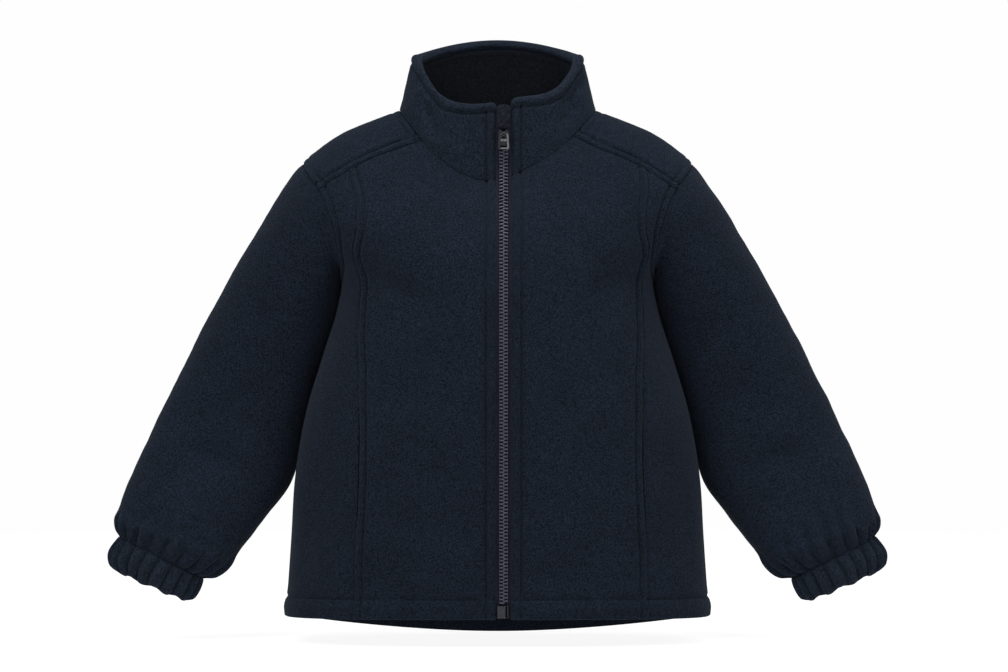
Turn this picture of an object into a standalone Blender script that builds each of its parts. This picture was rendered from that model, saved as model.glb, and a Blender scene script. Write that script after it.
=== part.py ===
"""A toddler's zip-up fleece jacket, filled out with no wearer inside it.

Metres, +Z up, the front facing -Y. The origin is the nape: the middle of the back collar seam. Left and
right are the wearer's, so the left half lies on +X.

The cloth is a wall on one smooth body surface, which runs from the hem over the shoulders to the neck
seam. A place on it is an angle round the body (0 at the centre front, 90 degrees at the left side, 180 at
the centre back) and a height up it (0 at the hem, 1 at the neck seam). Every panel is a patch between its
seams. The sleeves, the cuffs and the collar are lofts through rings. The tables are in millimetres.
"""

import math
from collections import namedtuple

import bmesh
import bpy
import numpy as np
from mathutils import Matrix, Vector

MM = 0.001
COLLECTION = "zip_up_jacket"
SIDES = {"left": 1, "right": -1}

# Cloth and seams.
FLEECE = 2.6
SEAM_GAP = 0.3
HEM_EXTRA_OUT = 0.9
HEM_EXTRA_IN = 1.7
HEM_DEPTH = 16.0
HEM_STEP = 1.2

# The fronts sit a little to the wearer's left of the middle of the outline, as the jacket was dressed.
ZIP_X = 4.8
SEAM_SHIFT = 2.8
PLACKET_HALF_GAP = 5.9
FRONT_SKEW = 4.0
SKEW_REACH = 18.0
SKEW_FROM = 0.72

# The body, from the hem up. Where a ring isn't level, its front, side and back have their own heights.
BodyRing = namedtuple("BodyRing", "half_width side_y side_z front_y front_z back_y back_z square")
BODY_RINGS = (
    BodyRing(165.8, -47.0, -393.0, -124.0, -391.4, 30.0, -411.4, 2.45),
    BodyRing(164.4, -47.0, -376.5, -124.5, -375.2, 30.5, -394.0, 2.45),
    BodyRing(161.2, -47.0, -331.0, -127.0, -331.0, 31.5, -347.0, 2.45),
    BodyRing(158.4, -46.5, -286.0, -129.5, -287.0, 32.5, -297.0, 2.45),
    BodyRing(148.6, -46.0, -230.0, -133.0, -232.0, 33.5, -237.0, 2.45),
    BodyRing(136.6, -45.5, -190.0, -134.5, -194.0, 34.0, -193.0, 2.45),
    BodyRing(124.6, -45.0, -150.0, -134.5, -160.0, 34.0, -152.0, 2.45),
    BodyRing(121.7, -45.0, -130.0, -133.5, -143.5, 34.0, -129.0, 2.45),
    BodyRing(137.0, -45.0, -92.0, -130.5, -124.5, 33.0, -101.0, 2.4),
    BodyRing(150.5, -45.0, -60.0, -126.0, -108.0, 31.0, -79.0, 2.3),
    BodyRing(152.0, -45.0, -40.0, -120.5, -94.5, 27.5, -61.0, 2.2),
    BodyRing(140.0, -44.5, -28.4, -114.5, -84.0, 23.0, -45.5, 2.15),
    BodyRing(122.5, -44.0, -16.4, -107.5, -74.5, 17.0, -30.5, 2.1),
    BodyRing(100.0, -43.0, -6.5, -98.0, -64.0, 9.0, -15.0, 2.05),
    BodyRing(77.0, -42.0, 2.0, -88.0, -53.0, 1.0, 0.0, 2.0),
)
UNDERARM_RING = 7
SHOULDER_POINT_RING = 10

# Soft folds in the body, seen square on: a trough is below the surface, a ridge above it.
Fold = namedtuple("Fold", "face x0 z0 x1 z1 rise width")
BODY_FOLDS = (
    Fold("front", -112.0, -118.0, -52.0, -158.0, -2.6, 15.0),
    Fold("front", 116.0, -116.0, 62.0, -160.0, -2.4, 15.0),
    Fold("front", -78.0, -215.0, -26.0, -140.0, -2.2, 20.0),
    Fold("front", 84.0, -214.0, 34.0, -138.0, -2.0, 20.0),
    Fold("front", -70.0, -345.0, -62.0, -235.0, 2.0, 26.0),
    Fold("front", 74.0, -350.0, 66.0, -240.0, 1.8, 26.0),
    Fold("front", -137.0, -345.0, -133.0, -265.0, -1.8, 14.0),
    Fold("front", 138.0, -350.0, 134.0, -270.0, -1.8, 14.0),
    Fold("back", -108.0, -120.0, -38.0, -176.0, -2.6, 16.0),
    Fold("back", 110.0, -122.0, 44.0, -170.0, -2.4, 16.0),
    Fold("back", -60.0, -372.0, -48.0, -240.0, -2.4, 20.0),
    Fold("back", 66.0, -376.0, 52.0, -250.0, -2.2, 20.0),
    Fold("back", 4.0, -380.0, 0.0, -270.0, 1.8, 24.0),
)

# Seams, seen square on. Those on the front are given for the left side and mirrored.
SeamPoint = namedtuple("SeamPoint", "x z")
PRINCESS_SEAM = (
    SeamPoint(112.6, -378.0),
    SeamPoint(112.6, -350.0),
    SeamPoint(111.0, -318.0),
    SeamPoint(109.3, -285.0),
    SeamPoint(109.0, -245.0),
    SeamPoint(109.0, -205.0),
    SeamPoint(109.3, -165.0),
    SeamPoint(110.0, -125.0),
    SeamPoint(111.4, -88.0),
    SeamPoint(113.4, -64.0),
)
SHOULDER_SEAM_TO_PRINCESS = (SeamPoint(80.0, -30.0), SeamPoint(97.0, -36.8))
PRINCESS_TOP = SeamPoint(115.2, -46.4)
SHOULDER_SEAM_TO_ARMHOLE = (SeamPoint(123.0, -51.2), SeamPoint(130.5, -56.2))
SHOULDER_SEAM_END = SeamPoint(138.0, -62.0)
NECK_CORNER_ANGLE = math.radians(50.0)
ARMHOLE_FRONT = (
    SeamPoint(122.6, -112.0),
    SeamPoint(124.6, -99.0),
    SeamPoint(128.4, -84.0),
    SeamPoint(133.0, -71.5),
)
ARMHOLE_TOP_FRONT = (SeamPoint(144.6, -53.2), SeamPoint(150.0, -45.6))
ARMHOLE_BACK = (
    SeamPoint(123.6, -113.0),
    SeamPoint(127.4, -97.0),
    SeamPoint(133.0, -81.0),
    SeamPoint(139.5, -67.0),
    SeamPoint(145.8, -55.0),
    SeamPoint(150.4, -46.4),
)

# Pockets in the princess seams: the opening's ends, and how far each edge stands back at its middle.
POCKET_TOP_Z = -227.0
POCKET_BOTTOM_Z = -322.0
POCKET_GAPE = 0.9
BAG_CLOTH = 1.2
BAG_CLEARANCE = 2.8
BAG_DEPTH = 3.0
BAG_SEAM_X = 109.0
BAG_INWARD = 58.0
BAG_OUTWARD = 9.0
BAG_TOP_Z = -219.0
BAG_BOTTOM_Z = -340.0
BAG_STEPS = 6
BAG_FULLNESS = 0.8

# A sleeve, by its outer and inner outlines seen square on, how thick it is there and where its middle lies.
SleeveRing = namedtuple("SleeveRing", "outer_x outer_z inner_x inner_z thickness middle_y")
SLEEVE_RINGS = (
    SleeveRing(152.0, -40.0, 121.7, -130.0, 86.0, -45.0),
    SleeveRing(159.4, -47.6, 124.0, -129.3, 85.0, -41.5),
    SleeveRing(176.0, -71.0, 125.1, -146.0, 84.0, -35.5),
    SleeveRing(198.4, -107.6, 130.4, -166.9, 82.0, -29.0),
    SleeveRing(225.0, -154.4, 140.5, -202.0, 76.0, -23.5),
    SleeveRing(249.2, -201.2, 151.5, -248.8, 71.0, -21.5),
    SleeveRing(269.5, -243.4, 162.0, -288.6, 66.0, -25.5),
    SleeveRing(283.5, -274.6, 179.4, -313.4, 63.0, -35.0),
    SleeveRing(292.6, -298.0, 194.6, -334.0, 59.0, -45.5),
    SleeveRing(296.6, -314.0, 207.1, -347.6, 54.0, -53.0),
    SleeveRing(296.2, -325.4, 221.1, -357.0, 46.0, -56.5),
)
SLEEVE_SQUARE = 2.15
RIM_FADE = 3.0
UPPER_ROWS = (0.45, 1.0, 1.5, 2.0, 3.0, 4.0, 5.0, 6.0, 7.0)
LOWER_ROWS = (8.0, 8.8, 9.5)
SLEEVE_FOLDS = (
    Fold("front", 186.0, -152.0, 152.0, -196.0, -2.8, 12.0),
    Fold("front", 205.0, -215.0, 166.0, -232.0, -2.2, 12.0),
    Fold("front", 262.0, -290.0, 222.0, -262.0, -2.4, 13.0),
    Fold("back", 190.0, -150.0, 150.0, -190.0, -3.0, 13.0),
    Fold("back", 226.0, -232.0, 178.0, -240.0, -2.6, 13.0),
    Fold("back", 255.0, -296.0, 216.0, -276.0, -2.4, 13.0),
)

# The gathered cuff, by its outer and inner outlines, from its seam to its mouth.
CUFF_RINGS = (
    SleeveRing(293.7, -330.6, 229.7, -363.2, 37.0, -56.5),
    SleeveRing(300.6, -343.0, 234.4, -371.2, 38.0, -57.0),
    SleeveRing(300.6, -352.6, 239.6, -378.6, 35.0, -57.5),
    SleeveRing(297.6, -357.2, 243.6, -380.6, 31.0, -57.5),
)
CUFF_WALL = 4.6
GATHERS = 20
GATHER_AT_SEAM = 1.0
GATHER_AT_MIDDLE = 1.5
GATHER_PUFF = 2.4
GATHER_FADE = 1.7
GATHER_UNEVEN = 0.35

# The stand collar, from its seam up, with its two layers and its rolled top edge.
CollarRing = namedtuple("CollarRing", "half_width side_y side_z front_y front_z back_y back_z")
COLLAR_RINGS = (
    CollarRing(77.0, -42.0, 2.3, -88.0, -52.7, 1.0, 0.3),
    CollarRing(74.4, -42.5, 12.0, -88.6, -38.0, 0.0, 14.0),
    CollarRing(71.4, -43.5, 24.0, -88.6, -22.0, -1.6, 31.0),
    CollarRing(68.4, -44.5, 36.0, -88.0, -6.0, -3.4, 47.0),
    CollarRing(65.8, -45.5, 46.6, -87.0, 8.2, -5.6, 60.4),
)
COLLAR_WALL = 7.0
COLLAR_ROLL = 3.5
COLLAR_DIP = 2.4
COLLAR_CORNER = 6.0
COLLAR_CORNER_DROP = 0.6
COLLAR_CORNER_LEVEL = 0.9
COLLAR_LEVELS = 9
COLLAR_FOLDS = (
    Fold("front", -66.0, 26.0, -50.0, -14.0, -1.8, 6.0),
    Fold("front", 66.0, 26.0, 46.0, -8.0, -1.6, 6.0),
)

# The zip, down the middle of the gap between the fronts. Depths are below the surface of the cloth.
TAPE_INNER = 0.6
TAPE_OUTER = 5.6
TAPE_FRONT = 1.6
TAPE_BACK = 2.4
TAPE_TOP_Z = 3.4
TAPE_BOTTOM_Z = -390.4
CHAIN_HALF_WIDTH = 4.0
CHAIN_CHAMFER = 0.8
CHAIN_FRONT = -1.0
CHAIN_BACK = 1.3
CHAIN_TOP_Z = -29.0
CHAIN_BOTTOM_Z = -379.6
BOX_LEFT = -5.2
BOX_RIGHT = 1.7
BOX_TOP_Z = -380.2
BOX_BOTTOM_Z = -389.8
BOX_THICKNESS = 3.4
BOX_ROUNDING = 0.8
PIN_X = 3.2
PIN_RADIUS = 0.95
GARAGE_WIDTH = 10.2
GARAGE_TOP_Z = 3.9
GARAGE_BOTTOM_Z = -14.6
GARAGE_THICKNESS = 3.4
GARAGE_ROUNDING = 1.4
GARAGE_FRONT = -2.1
ZIP_ROWS = 24

# The slider, its bridge and the pull that hangs from it. Heights are along the slider from its middle.
SLIDER_Z = -21.6
SLIDER_LENGTH = 12.6
SLIDER_TOP_WIDTH = 8.8
SLIDER_BOTTOM_WIDTH = 6.6
SLIDER_THICKNESS = 4.4
SLIDER_BACK = 1.3
SLIDER_SHOULDER = 3.0
SLIDER_NOTCH = 1.8
SLIDER_CORNER = 1.0
BRIDGE_WIDTH = 2.2
BRIDGE_BAR = 0.9
BRIDGE_TOP = 4.4
BRIDGE_BOTTOM = -0.6
BRIDGE_RISE = 3.0
BRIDGE_STEPS = 10
BRIDGE_FOOT = 0.6
HINGE_UP = 2.4
HINGE_OUT = 1.15
PULL_LENGTH = 11.4
PULL_TOP_HALF = 3.7
PULL_BOTTOM_HALF = 4.3
PULL_RAIL = 1.4
PULL_THICKNESS = 1.1
PULL_CROSSBAR_FROM = 3.8
PULL_CROSSBAR_TO = 5.5
PULL_END_BAR = 1.1
HINGE_RADIUS = 0.5
HINGE_BAR_INSET = 0.4

# The small plain tabs in the sleeve seams: where round the sleeve, where along it, and their size.
Tab = namedtuple("Tab", "turn row length width")
SLEEVE_TABS = {
    "left": Tab(math.radians(32.0), 9.2, 11.0, 9.0),
    "right": Tab(math.radians(4.0), 9.2, 9.0, 9.0),
}
TAB_CLOTH = 1.2
TAB_LIFT = 0.8
SLEEVE_ROW_LENGTH = 13.8
SLEEVE_RADIUS = 45.0

COLOURS = {
    "fleece": (0.0110, 0.0150, 0.0240, 0.95, 0.0),
    "tape": (0.0090, 0.0110, 0.0160, 0.85, 0.0),
    "teeth": (0.0900, 0.0900, 0.1200, 0.35, 0.3),
    "metal": (0.6200, 0.6200, 0.6400, 0.28, 1.0),
    "bag": (0.0100, 0.0130, 0.0200, 0.90, 0.0),
}


def material(name):
    """The Principled material of this name, made the first time it is asked for."""
    found = bpy.data.materials.get(name)
    if found:
        return found
    red, green, blue, roughness, metallic = COLOURS[name]
    made = bpy.data.materials.new(name)
    made.use_nodes = True
    shader = made.node_tree.nodes["Principled BSDF"]
    shader.inputs["Base Color"].default_value = (red, green, blue, 1.0)
    shader.inputs["Roughness"].default_value = roughness
    shader.inputs["Metallic"].default_value = metallic
    made.diffuse_color = (red, green, blue, 1.0)
    return made


def start_collection():
    for obj in list(bpy.data.objects):
        bpy.data.objects.remove(obj, do_unlink=True)
    made = bpy.data.collections.new(COLLECTION)
    bpy.context.scene.collection.children.link(made)
    return made


def add_object(name, mesh, finish, pieces):
    mesh.materials.append(material(finish))
    obj = bpy.data.objects.new(name, mesh)
    pieces.objects.link(obj)
    return obj


def mesh_from(bm, name, smooth_under=50.0):
    """The finished mesh, its faces turned out, flat only across corners sharper than this angle."""
    bmesh.ops.recalc_face_normals(bm, faces=bm.faces)
    mesh = bpy.data.meshes.new(name)
    bm.to_mesh(mesh)
    bm.free()
    mesh.shade_smooth()
    mesh.set_sharp_from_angle(angle=math.radians(smooth_under))
    return mesh


# Curves and rings.


def curve_through(rows, stations):
    """A smooth curve through rows of numbers, one row at each station."""
    values = np.array(rows, float)
    stops = np.array(stations, float)
    slopes = np.gradient(values, stops, axis=0)

    def at(where):
        where = np.clip(np.asarray(where, float), stops[0], stops[-1])
        index = np.clip(np.searchsorted(stops, where, side="right") - 1, 0, len(stops) - 2)
        span = (stops[index + 1] - stops[index])[..., None]
        t = (where - stops[index])[..., None] / span
        start = (1 + 2 * t) * (1 - t) ** 2 * values[index] + t * (1 - t) ** 2 * span * slopes[index]
        end = t * t * (3 - 2 * t) * values[index + 1] + t * t * (t - 1) * span * slopes[index + 1]
        return start + end

    return at


def path_lengths(points):
    """How far along a path each of its points lies."""
    steps = np.linalg.norm(np.diff(np.array(points, float), axis=0), axis=1)
    return np.concatenate([[0.0], np.cumsum(steps)])


def unit(vectors):
    return vectors / np.maximum(np.linalg.norm(vectors, axis=-1, keepdims=True), 1e-12)


def roundness(angle, square):
    """How far a squared circle reaches at this angle."""
    reach = np.abs(np.cos(angle)) ** square + np.abs(np.sin(angle)) ** square
    return reach ** (-1.0 / square)


def smooth_step(value, low, high):
    t = np.clip((value - low) / (high - low), 0.0, 1.0)
    return t * t * (3 - 2 * t)


def fold_height(folds, x, z, front):
    """The sum of the folds at these places. front is 1 on the front, -1 on the back and fades between."""
    total = np.zeros_like(x)
    for fold in folds:
        along = np.array([fold.x1 - fold.x0, fold.z1 - fold.z0])
        length = np.hypot(*along)
        along = along / length
        run = (x - fold.x0) * along[0] + (z - fold.z0) * along[1]
        beside = (z - fold.z0) * along[0] - (x - fold.x0) * along[1]
        ends = smooth_step(run, -0.25 * length, 0.3 * length) * (
            1 - smooth_step(run, 0.7 * length, 1.25 * length)
        )
        faces = front if fold.face == "front" else -front
        total += fold.rise * ends * np.exp(-((beside / fold.width) ** 2)) * np.clip(faces, 0.0, 1.0)
    return total


# The body surface.


def body_stations():
    side = [(ring.half_width, ring.side_z) for ring in BODY_RINGS]
    front = [(ring.front_y, ring.front_z) for ring in BODY_RINGS]
    lengths = path_lengths(side) + path_lengths(front)
    return lengths / lengths[-1]


BODY_STATIONS = body_stations()
BODY_CURVE = curve_through(BODY_RINGS, BODY_STATIONS)
UNDERARM = BODY_STATIONS[UNDERARM_RING]
SHOULDER_POINT = BODY_STATIONS[SHOULDER_POINT_RING]


def ring_place(columns, angle, square):
    """The place at an angle on a ring with its own front, side and back: x, y and z."""
    half_width, side_y, side_z, front_y, front_z, back_y, back_z = columns
    forward = np.cos(angle)
    reach = roundness(angle, square)
    depth = np.where(forward > 0, front_y - side_y, side_y - back_y)
    end_z = np.where(forward > 0, front_z, back_z)
    x = half_width * reach * np.sin(angle)
    y = side_y + depth * reach * forward
    z = side_z + (end_z - side_z) * np.abs(forward) ** 2
    return x, y, z


def front_skew(x, angle, amount):
    """The left front sits a little higher than the right one at the neck."""
    forward = np.clip(np.cos(angle), 0.0, 1.0)
    return FRONT_SKEW * np.tanh((x - ZIP_X) / SKEW_REACH) * forward**2 * amount


def body_at(angle, height):
    """The outer surface of the body at an angle and a height, in millimetres."""
    angle, height = np.broadcast_arrays(np.asarray(angle, float), np.asarray(height, float))
    columns = np.moveaxis(BODY_CURVE(height), -1, 0)
    x, y, z = ring_place(columns[:7], angle, columns[7])
    fold = fold_height(BODY_FOLDS, x, z, np.tanh(3.0 * np.cos(angle)))
    z = z + front_skew(x, angle, smooth_step(height, SKEW_FROM, 1.0))
    return np.stack([x + fold * np.sin(angle), y - fold * np.cos(angle), z], axis=-1)


def surface_normals(surface, first, second, step=1e-3):
    """The outward normals of a surface of two numbers."""
    across = surface(first + step, second) - surface(first - step, second)
    up = surface(first, second + step) - surface(first, second - step)
    return unit(np.cross(across, up))


def place_on_body(x, z, face="front"):
    """The angle and height where the front or the back, seen square on, passes through x and z."""
    middle = 0.0 if face == "front" else math.pi
    angles, heights = np.meshgrid(
        np.linspace(-1.5, 1.5, 61) + middle, np.linspace(0.0, 1.0, 61), indexing="ij"
    )
    grid = body_at(angles, heights)
    nearest = np.argmin((grid[..., 0] - x) ** 2 + (grid[..., 2] - z) ** 2)
    place = np.array([angles.flat[nearest], heights.flat[nearest]])
    step = 1e-4
    for _ in range(12):
        here = body_at(*place)[[0, 2]]
        by_angle = (body_at(place[0] + step, place[1])[[0, 2]] - here) / step
        by_height = (body_at(place[0], place[1] - step)[[0, 2]] - here) / -step
        slopes = np.stack([by_angle, by_height], axis=1)
        change = np.linalg.lstsq(slopes, np.array([x, z]) - here, rcond=None)[0]
        place = place + np.clip(change, -0.15, 0.15)
        place[1] = min(max(place[1], 0.0), 1.0)
    return place


def angle_at_x(x, height):
    """The angle on the front at which the body at this height reaches x."""
    low, high = -1.4, 1.4
    for _ in range(40):
        middle = 0.5 * (low + high)
        if body_at(middle, height)[0] < x:
            low = middle
        else:
            high = middle
    return 0.5 * (low + high)


# Seams, as paths of (angle, height).

SIDE_ROWS = 8
ARMHOLE_FRONT_STEPS = 8
ARMHOLE_BACK_STEPS = 12
ARMHOLE_TOP_STEPS = 5
SHOULDER_NECK_STEPS = 3
SHOULDER_ARM_STEPS = 5
NECK_BACK_STEPS = 16
YOKE_RISE = 0.09
CHEST_RISE = 0.01
ARMHOLE_FLOOR_STEPS = 4
NECK_FRONT_STEPS = 6


def body_height_above_hem(distance):
    """The height that lies this far above the hem, along the front."""
    front = path_lengths([(ring.front_y, ring.front_z) for ring in BODY_RINGS])
    return float(np.interp(distance, front, BODY_STATIONS))


HEM_TOP = body_height_above_hem(HEM_DEPTH)
HEM_SHOULDER = body_height_above_hem(HEM_DEPTH + HEM_STEP)


def mirrored(path, side):
    return np.array(path) * [side, 1.0]


def seen_point(point, side, face="front", shift=0.0):
    """The (angle, height) of a seam's point on one side. On the back, the angle runs on past 90 degrees."""
    place = place_on_body(side * point.x + shift, point.z, face)
    return np.array([side * place[0] if face == "front" else place[0], place[1]])


def shoulder_seam(side):
    """From the neck to the princess seam, and from there to the armhole, with positive angles."""
    corner = np.array([NECK_CORNER_ANGLE, 1.0])
    first = [seen_point(point, side) for point in SHOULDER_SEAM_TO_PRINCESS]
    meeting = seen_point(PRINCESS_TOP, side)
    second = [seen_point(point, side) for point in SHOULDER_SEAM_TO_ARMHOLE]
    end = seen_point(SHOULDER_SEAM_END, side)
    whole = np.array([corner] + first + [meeting] + second + [end])
    lengths = path_lengths(whole)
    curve = curve_through(whole, lengths)
    split = lengths[1 + len(first)]
    inner = curve(np.linspace(0.0, split, SHOULDER_NECK_STEPS + 1))
    outer = curve(np.linspace(split, lengths[-1], SHOULDER_ARM_STEPS + 1))
    return inner, outer


def princess_seam(side, meeting):
    """From the hem to the shoulder seam, with positive angles, in the fronts' rows."""
    points = [seen_point(point, side, shift=SEAM_SHIFT) for point in PRINCESS_SEAM]
    foot = np.array([points[0][0], 0.0])
    whole = np.array([foot] + points + [meeting])
    curve = curve_through(whole, whole[:, 1])
    rows = SIDE_ROWS + ARMHOLE_FRONT_STEPS
    heights = [0.0, HEM_TOP] + list(np.linspace(HEM_SHOULDER, meeting[1], rows + 1))
    path = curve(np.array(heights))
    return np.column_stack([path[:, 0], heights])


def placket_x(side):
    return ZIP_X + side * PLACKET_HALF_GAP


def zip_edge(side):
    """From the hem to the neck along the edge beside the zip, with positive angles."""
    rows = SIDE_ROWS + ARMHOLE_FRONT_STEPS
    heights = [0.0, HEM_TOP] + list(np.linspace(HEM_SHOULDER, 1.0, rows + 1))
    return np.array([[side * angle_at_x(placket_x(side), height), height] for height in heights])


def side_seam():
    heights = [0.0, HEM_TOP] + list(np.linspace(HEM_SHOULDER, UNDERARM, SIDE_ROWS + 1))
    return np.array([[math.pi / 2, height] for height in heights])


def armhole(shoulder_end):
    """The armhole in three runs: up its front to the shoulder seam, over to the top, and down its back."""
    underarm = np.array([math.pi / 2, UNDERARM])
    top = np.array([math.pi / 2, SHOULDER_POINT])
    front = [seen_point(point, 1) for point in ARMHOLE_FRONT]
    over = [seen_point(point, 1) for point in ARMHOLE_TOP_FRONT]
    back = [seen_point(point, 1, "back") for point in ARMHOLE_BACK]
    loop = [underarm] + front + [shoulder_end] + over + [top] + back[::-1] + [underarm]
    scale = np.array([1.0, 4.0])
    places = np.array(loop) * scale
    lengths = path_lengths(places)
    curve = curve_through(places, lengths)
    seam_at = lengths[1 + len(front)]
    top_at = lengths[2 + len(front) + len(over)]
    first = curve(np.linspace(0.0, seam_at, ARMHOLE_FRONT_STEPS + 1)) / scale
    second = curve(np.linspace(seam_at, top_at, ARMHOLE_TOP_STEPS + 1)) / scale
    third = curve(np.linspace(top_at, lengths[-1], ARMHOLE_BACK_STEPS + 1)) / scale
    return first, second, third


def body_seams(side):
    inner, outer = shoulder_seam(side)
    front, top, back = armhole(outer[-1])
    return {
        "zip": zip_edge(side),
        "princess": princess_seam(side, inner[-1]),
        "shoulder_inner": inner,
        "shoulder_outer": outer,
        "side": side_seam(),
        "armhole_front": front,
        "armhole_top": top,
        "armhole_back": back,
    }


# Patches and walls.


def shared_steps(first, second):
    """How far along two opposite edges each step lies, as one share from 0 to 1."""
    one = path_lengths(first)
    two = path_lengths(second)
    return 0.5 * (one / one[-1] + two / two[-1])


def blend_edges(left, right, bottom, top, up, across):
    """A grid between four edges, each a row of points. Left and right run up, the others run across."""
    sides = (1 - across) * left[:, None] + across * right[:, None]
    ends = (1 - up) * bottom[None] + up * top[None]
    corners = (1 - up) * ((1 - across) * left[0] + across * right[0])
    corners = corners + up * ((1 - across) * left[-1] + across * right[-1])
    return sides + ends - corners


def nearest_on_body(targets, places):
    """The places on the body nearest to these points, found by steps from first guesses."""
    step = 1e-4
    for _ in range(30):
        here = body_at(places[..., 0], places[..., 1])
        by_angle = (body_at(places[..., 0] + step, places[..., 1]) - here) / step
        by_height = (here - body_at(places[..., 0], places[..., 1] - step)) / step
        miss = targets - here
        aa = np.sum(by_angle * by_angle, axis=-1) + 1e-6
        ah = np.sum(by_angle * by_height, axis=-1)
        hh = np.sum(by_height * by_height, axis=-1) + 1e-6
        miss_a = np.sum(miss * by_angle, axis=-1)
        miss_h = np.sum(miss * by_height, axis=-1)
        scale = aa * hh - ah * ah
        turned = (hh * miss_a - ah * miss_h) / scale
        raised = (aa * miss_h - ah * miss_a) / scale
        change = np.stack([turned, raised], axis=-1)
        places = places + np.clip(change, -0.05, 0.05)
        places[..., 1] = np.clip(places[..., 1], 2e-4, 1.0)
    return places


def flat_patch(left, right, bottom, top):
    """A grid of places between four edges, blended as angles and heights."""
    up = np.linspace(0.0, 1.0, len(left))[:, None, None]
    across = np.linspace(0.0, 1.0, len(bottom))[None, :, None]
    return blend_edges(left, right, bottom, top, up, across)


def patch(*edges):
    """A grid of places between four edges: it is blended in space, then set back on the body."""
    spread = [body_at(edge[:, 0], edge[:, 1]) for edge in edges]
    up = shared_steps(spread[0], spread[1])[:, None, None]
    across = shared_steps(spread[2], spread[3])[None, :, None]
    places = blend_edges(*edges, up, across)
    targets = blend_edges(*spread, up, across)
    inside = (slice(1, -1), slice(1, -1))
    places[inside] = nearest_on_body(targets[inside], places[inside])
    return places


def drawn_in(points, edge, amount):
    """The grid with one edge moved into the patch, square to its own run. edge is an index pair."""
    moved = points.copy()
    line = points[edge[0]]
    beside = points[edge[1]]
    run = unit(np.gradient(line, axis=0))
    inward = beside - line
    inward = unit(inward - np.sum(inward * run, axis=-1, keepdims=True) * run)
    moved[edge[0]] = line + inward * np.asarray(amount).reshape(-1, 1)
    return moved


LAST_ROW = (-1, -2)
FIRST_COLUMN = ((slice(None), 0), (slice(None), 1))
LAST_COLUMN = ((slice(None), -1), (slice(None), -2))


NECK_BACK_ANGLES = np.linspace(NECK_CORNER_ANGLE, 2 * math.pi - NECK_CORNER_ANGLE, NECK_BACK_STEPS + 1)


def neck_front_angles(zip_angle):
    return np.linspace(zip_angle, NECK_CORNER_ANGLE, NECK_FRONT_STEPS + 1)


def hem_band(heights):
    """1 in the hem, 0 above it."""
    return 1 - smooth_step(heights, HEM_TOP, HEM_SHOULDER)


def hem_layers(surface, normals, heights):
    """The outer and inner points of cloth with this surface, thicker in its turned hem."""
    band = hem_band(heights)[..., None]
    return surface + normals * HEM_EXTRA_OUT * band, surface - normals * (FLEECE + HEM_EXTRA_IN * band)


def panel_layers(places, edges):
    """A panel's outer and inner points. edges lists each seam edge and how far it is drawn in there."""
    normals = surface_normals(body_at, places[..., 0], places[..., 1])
    surface = body_at(places[..., 0], places[..., 1])
    for edge, amount in edges:
        surface = drawn_in(surface, edge, amount)
    return hem_layers(surface, normals, places[..., 1])


def add_grid(bm, points):
    return [[bm.verts.new(Vector(point) * MM) for point in row] for row in points]


def fill_between(bm, first, second):
    """Faces between two rows of as many vertices."""
    for here in range(len(first) - 1):
        bm.faces.new((first[here], first[here + 1], second[here + 1], second[here]))


def grid_cells(rows, columns):
    """The cells of a grid whose points are numbered row by row."""
    corners = np.arange(rows * columns).reshape(rows, columns)
    cells = np.stack([corners[:-1, :-1], corners[:-1, 1:], corners[1:, 1:], corners[1:, :-1]], axis=-1)
    return [tuple(cell) for cell in cells.reshape(-1, 4)]


def rim_edges(cells):
    """The edges that only one cell has, each with that cell, in the cell's own direction."""
    found = {}
    for cell in cells:
        for start, end in zip(cell, cell[1:] + cell[:1]):
            found.setdefault(frozenset((start, end)), []).append((start, end, cell))
    return [uses[0] for uses in found.values() if len(uses) == 1]


def wall_mesh(outer, inner, name, cells=None):
    """A closed wall between two sets of points, each cell split along the same diagonal on both sides."""
    cells = cells or grid_cells(*outer.shape[:2])
    bm = bmesh.new()
    front = add_grid(bm, [outer.reshape(-1, 3)])[0]
    rear = add_grid(bm, [inner.reshape(-1, 3)])[0]
    for a, b, c, d in cells:
        if (front[a].co - front[c].co).length < (front[b].co - front[d].co).length:
            halves = ((a, b, c), (a, c, d))
        else:
            halves = ((a, b, d), (b, c, d))
        for half in halves:
            bm.faces.new([front[corner] for corner in half])
            bm.faces.new([rear[corner] for corner in half[::-1]])
    for start, end, _ in rim_edges(cells):
        bm.faces.new((front[end], front[start], rear[start], rear[end]))
    return mesh_from(bm, name)


def tube_mesh(sections, name, closed_run=False):
    """A solid swept through closed sections of as many points, with flat ends unless its run is closed."""
    bm = bmesh.new()
    rings = [ring + ring[:1] for ring in add_grid(bm, sections)]
    for first, second in zip(rings, rings[1:]):
        fill_between(bm, first, second)
    if closed_run:
        fill_between(bm, rings[-1], rings[0])
    else:
        bm.faces.new(rings[0][:-1])
        bm.faces.new(rings[-1][:-1])
    return mesh_from(bm, name)


# Body panels.

HALF_GAP = SEAM_GAP / 2


def pocket_opening(path, side):
    """How far the princess seam's edges stand back: half a seam gap, more in the pocket's opening."""
    z = body_at(side * path[:, 0], path[:, 1])[:, 2]
    middle = (POCKET_TOP_Z + POCKET_BOTTOM_Z) / 2
    half = (POCKET_TOP_Z - POCKET_BOTTOM_Z) / 2
    inside = np.clip(1 - ((z - middle) / half) ** 2, 0.0, 1.0)
    return HALF_GAP + POCKET_GAPE * np.sqrt(inside)


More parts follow.
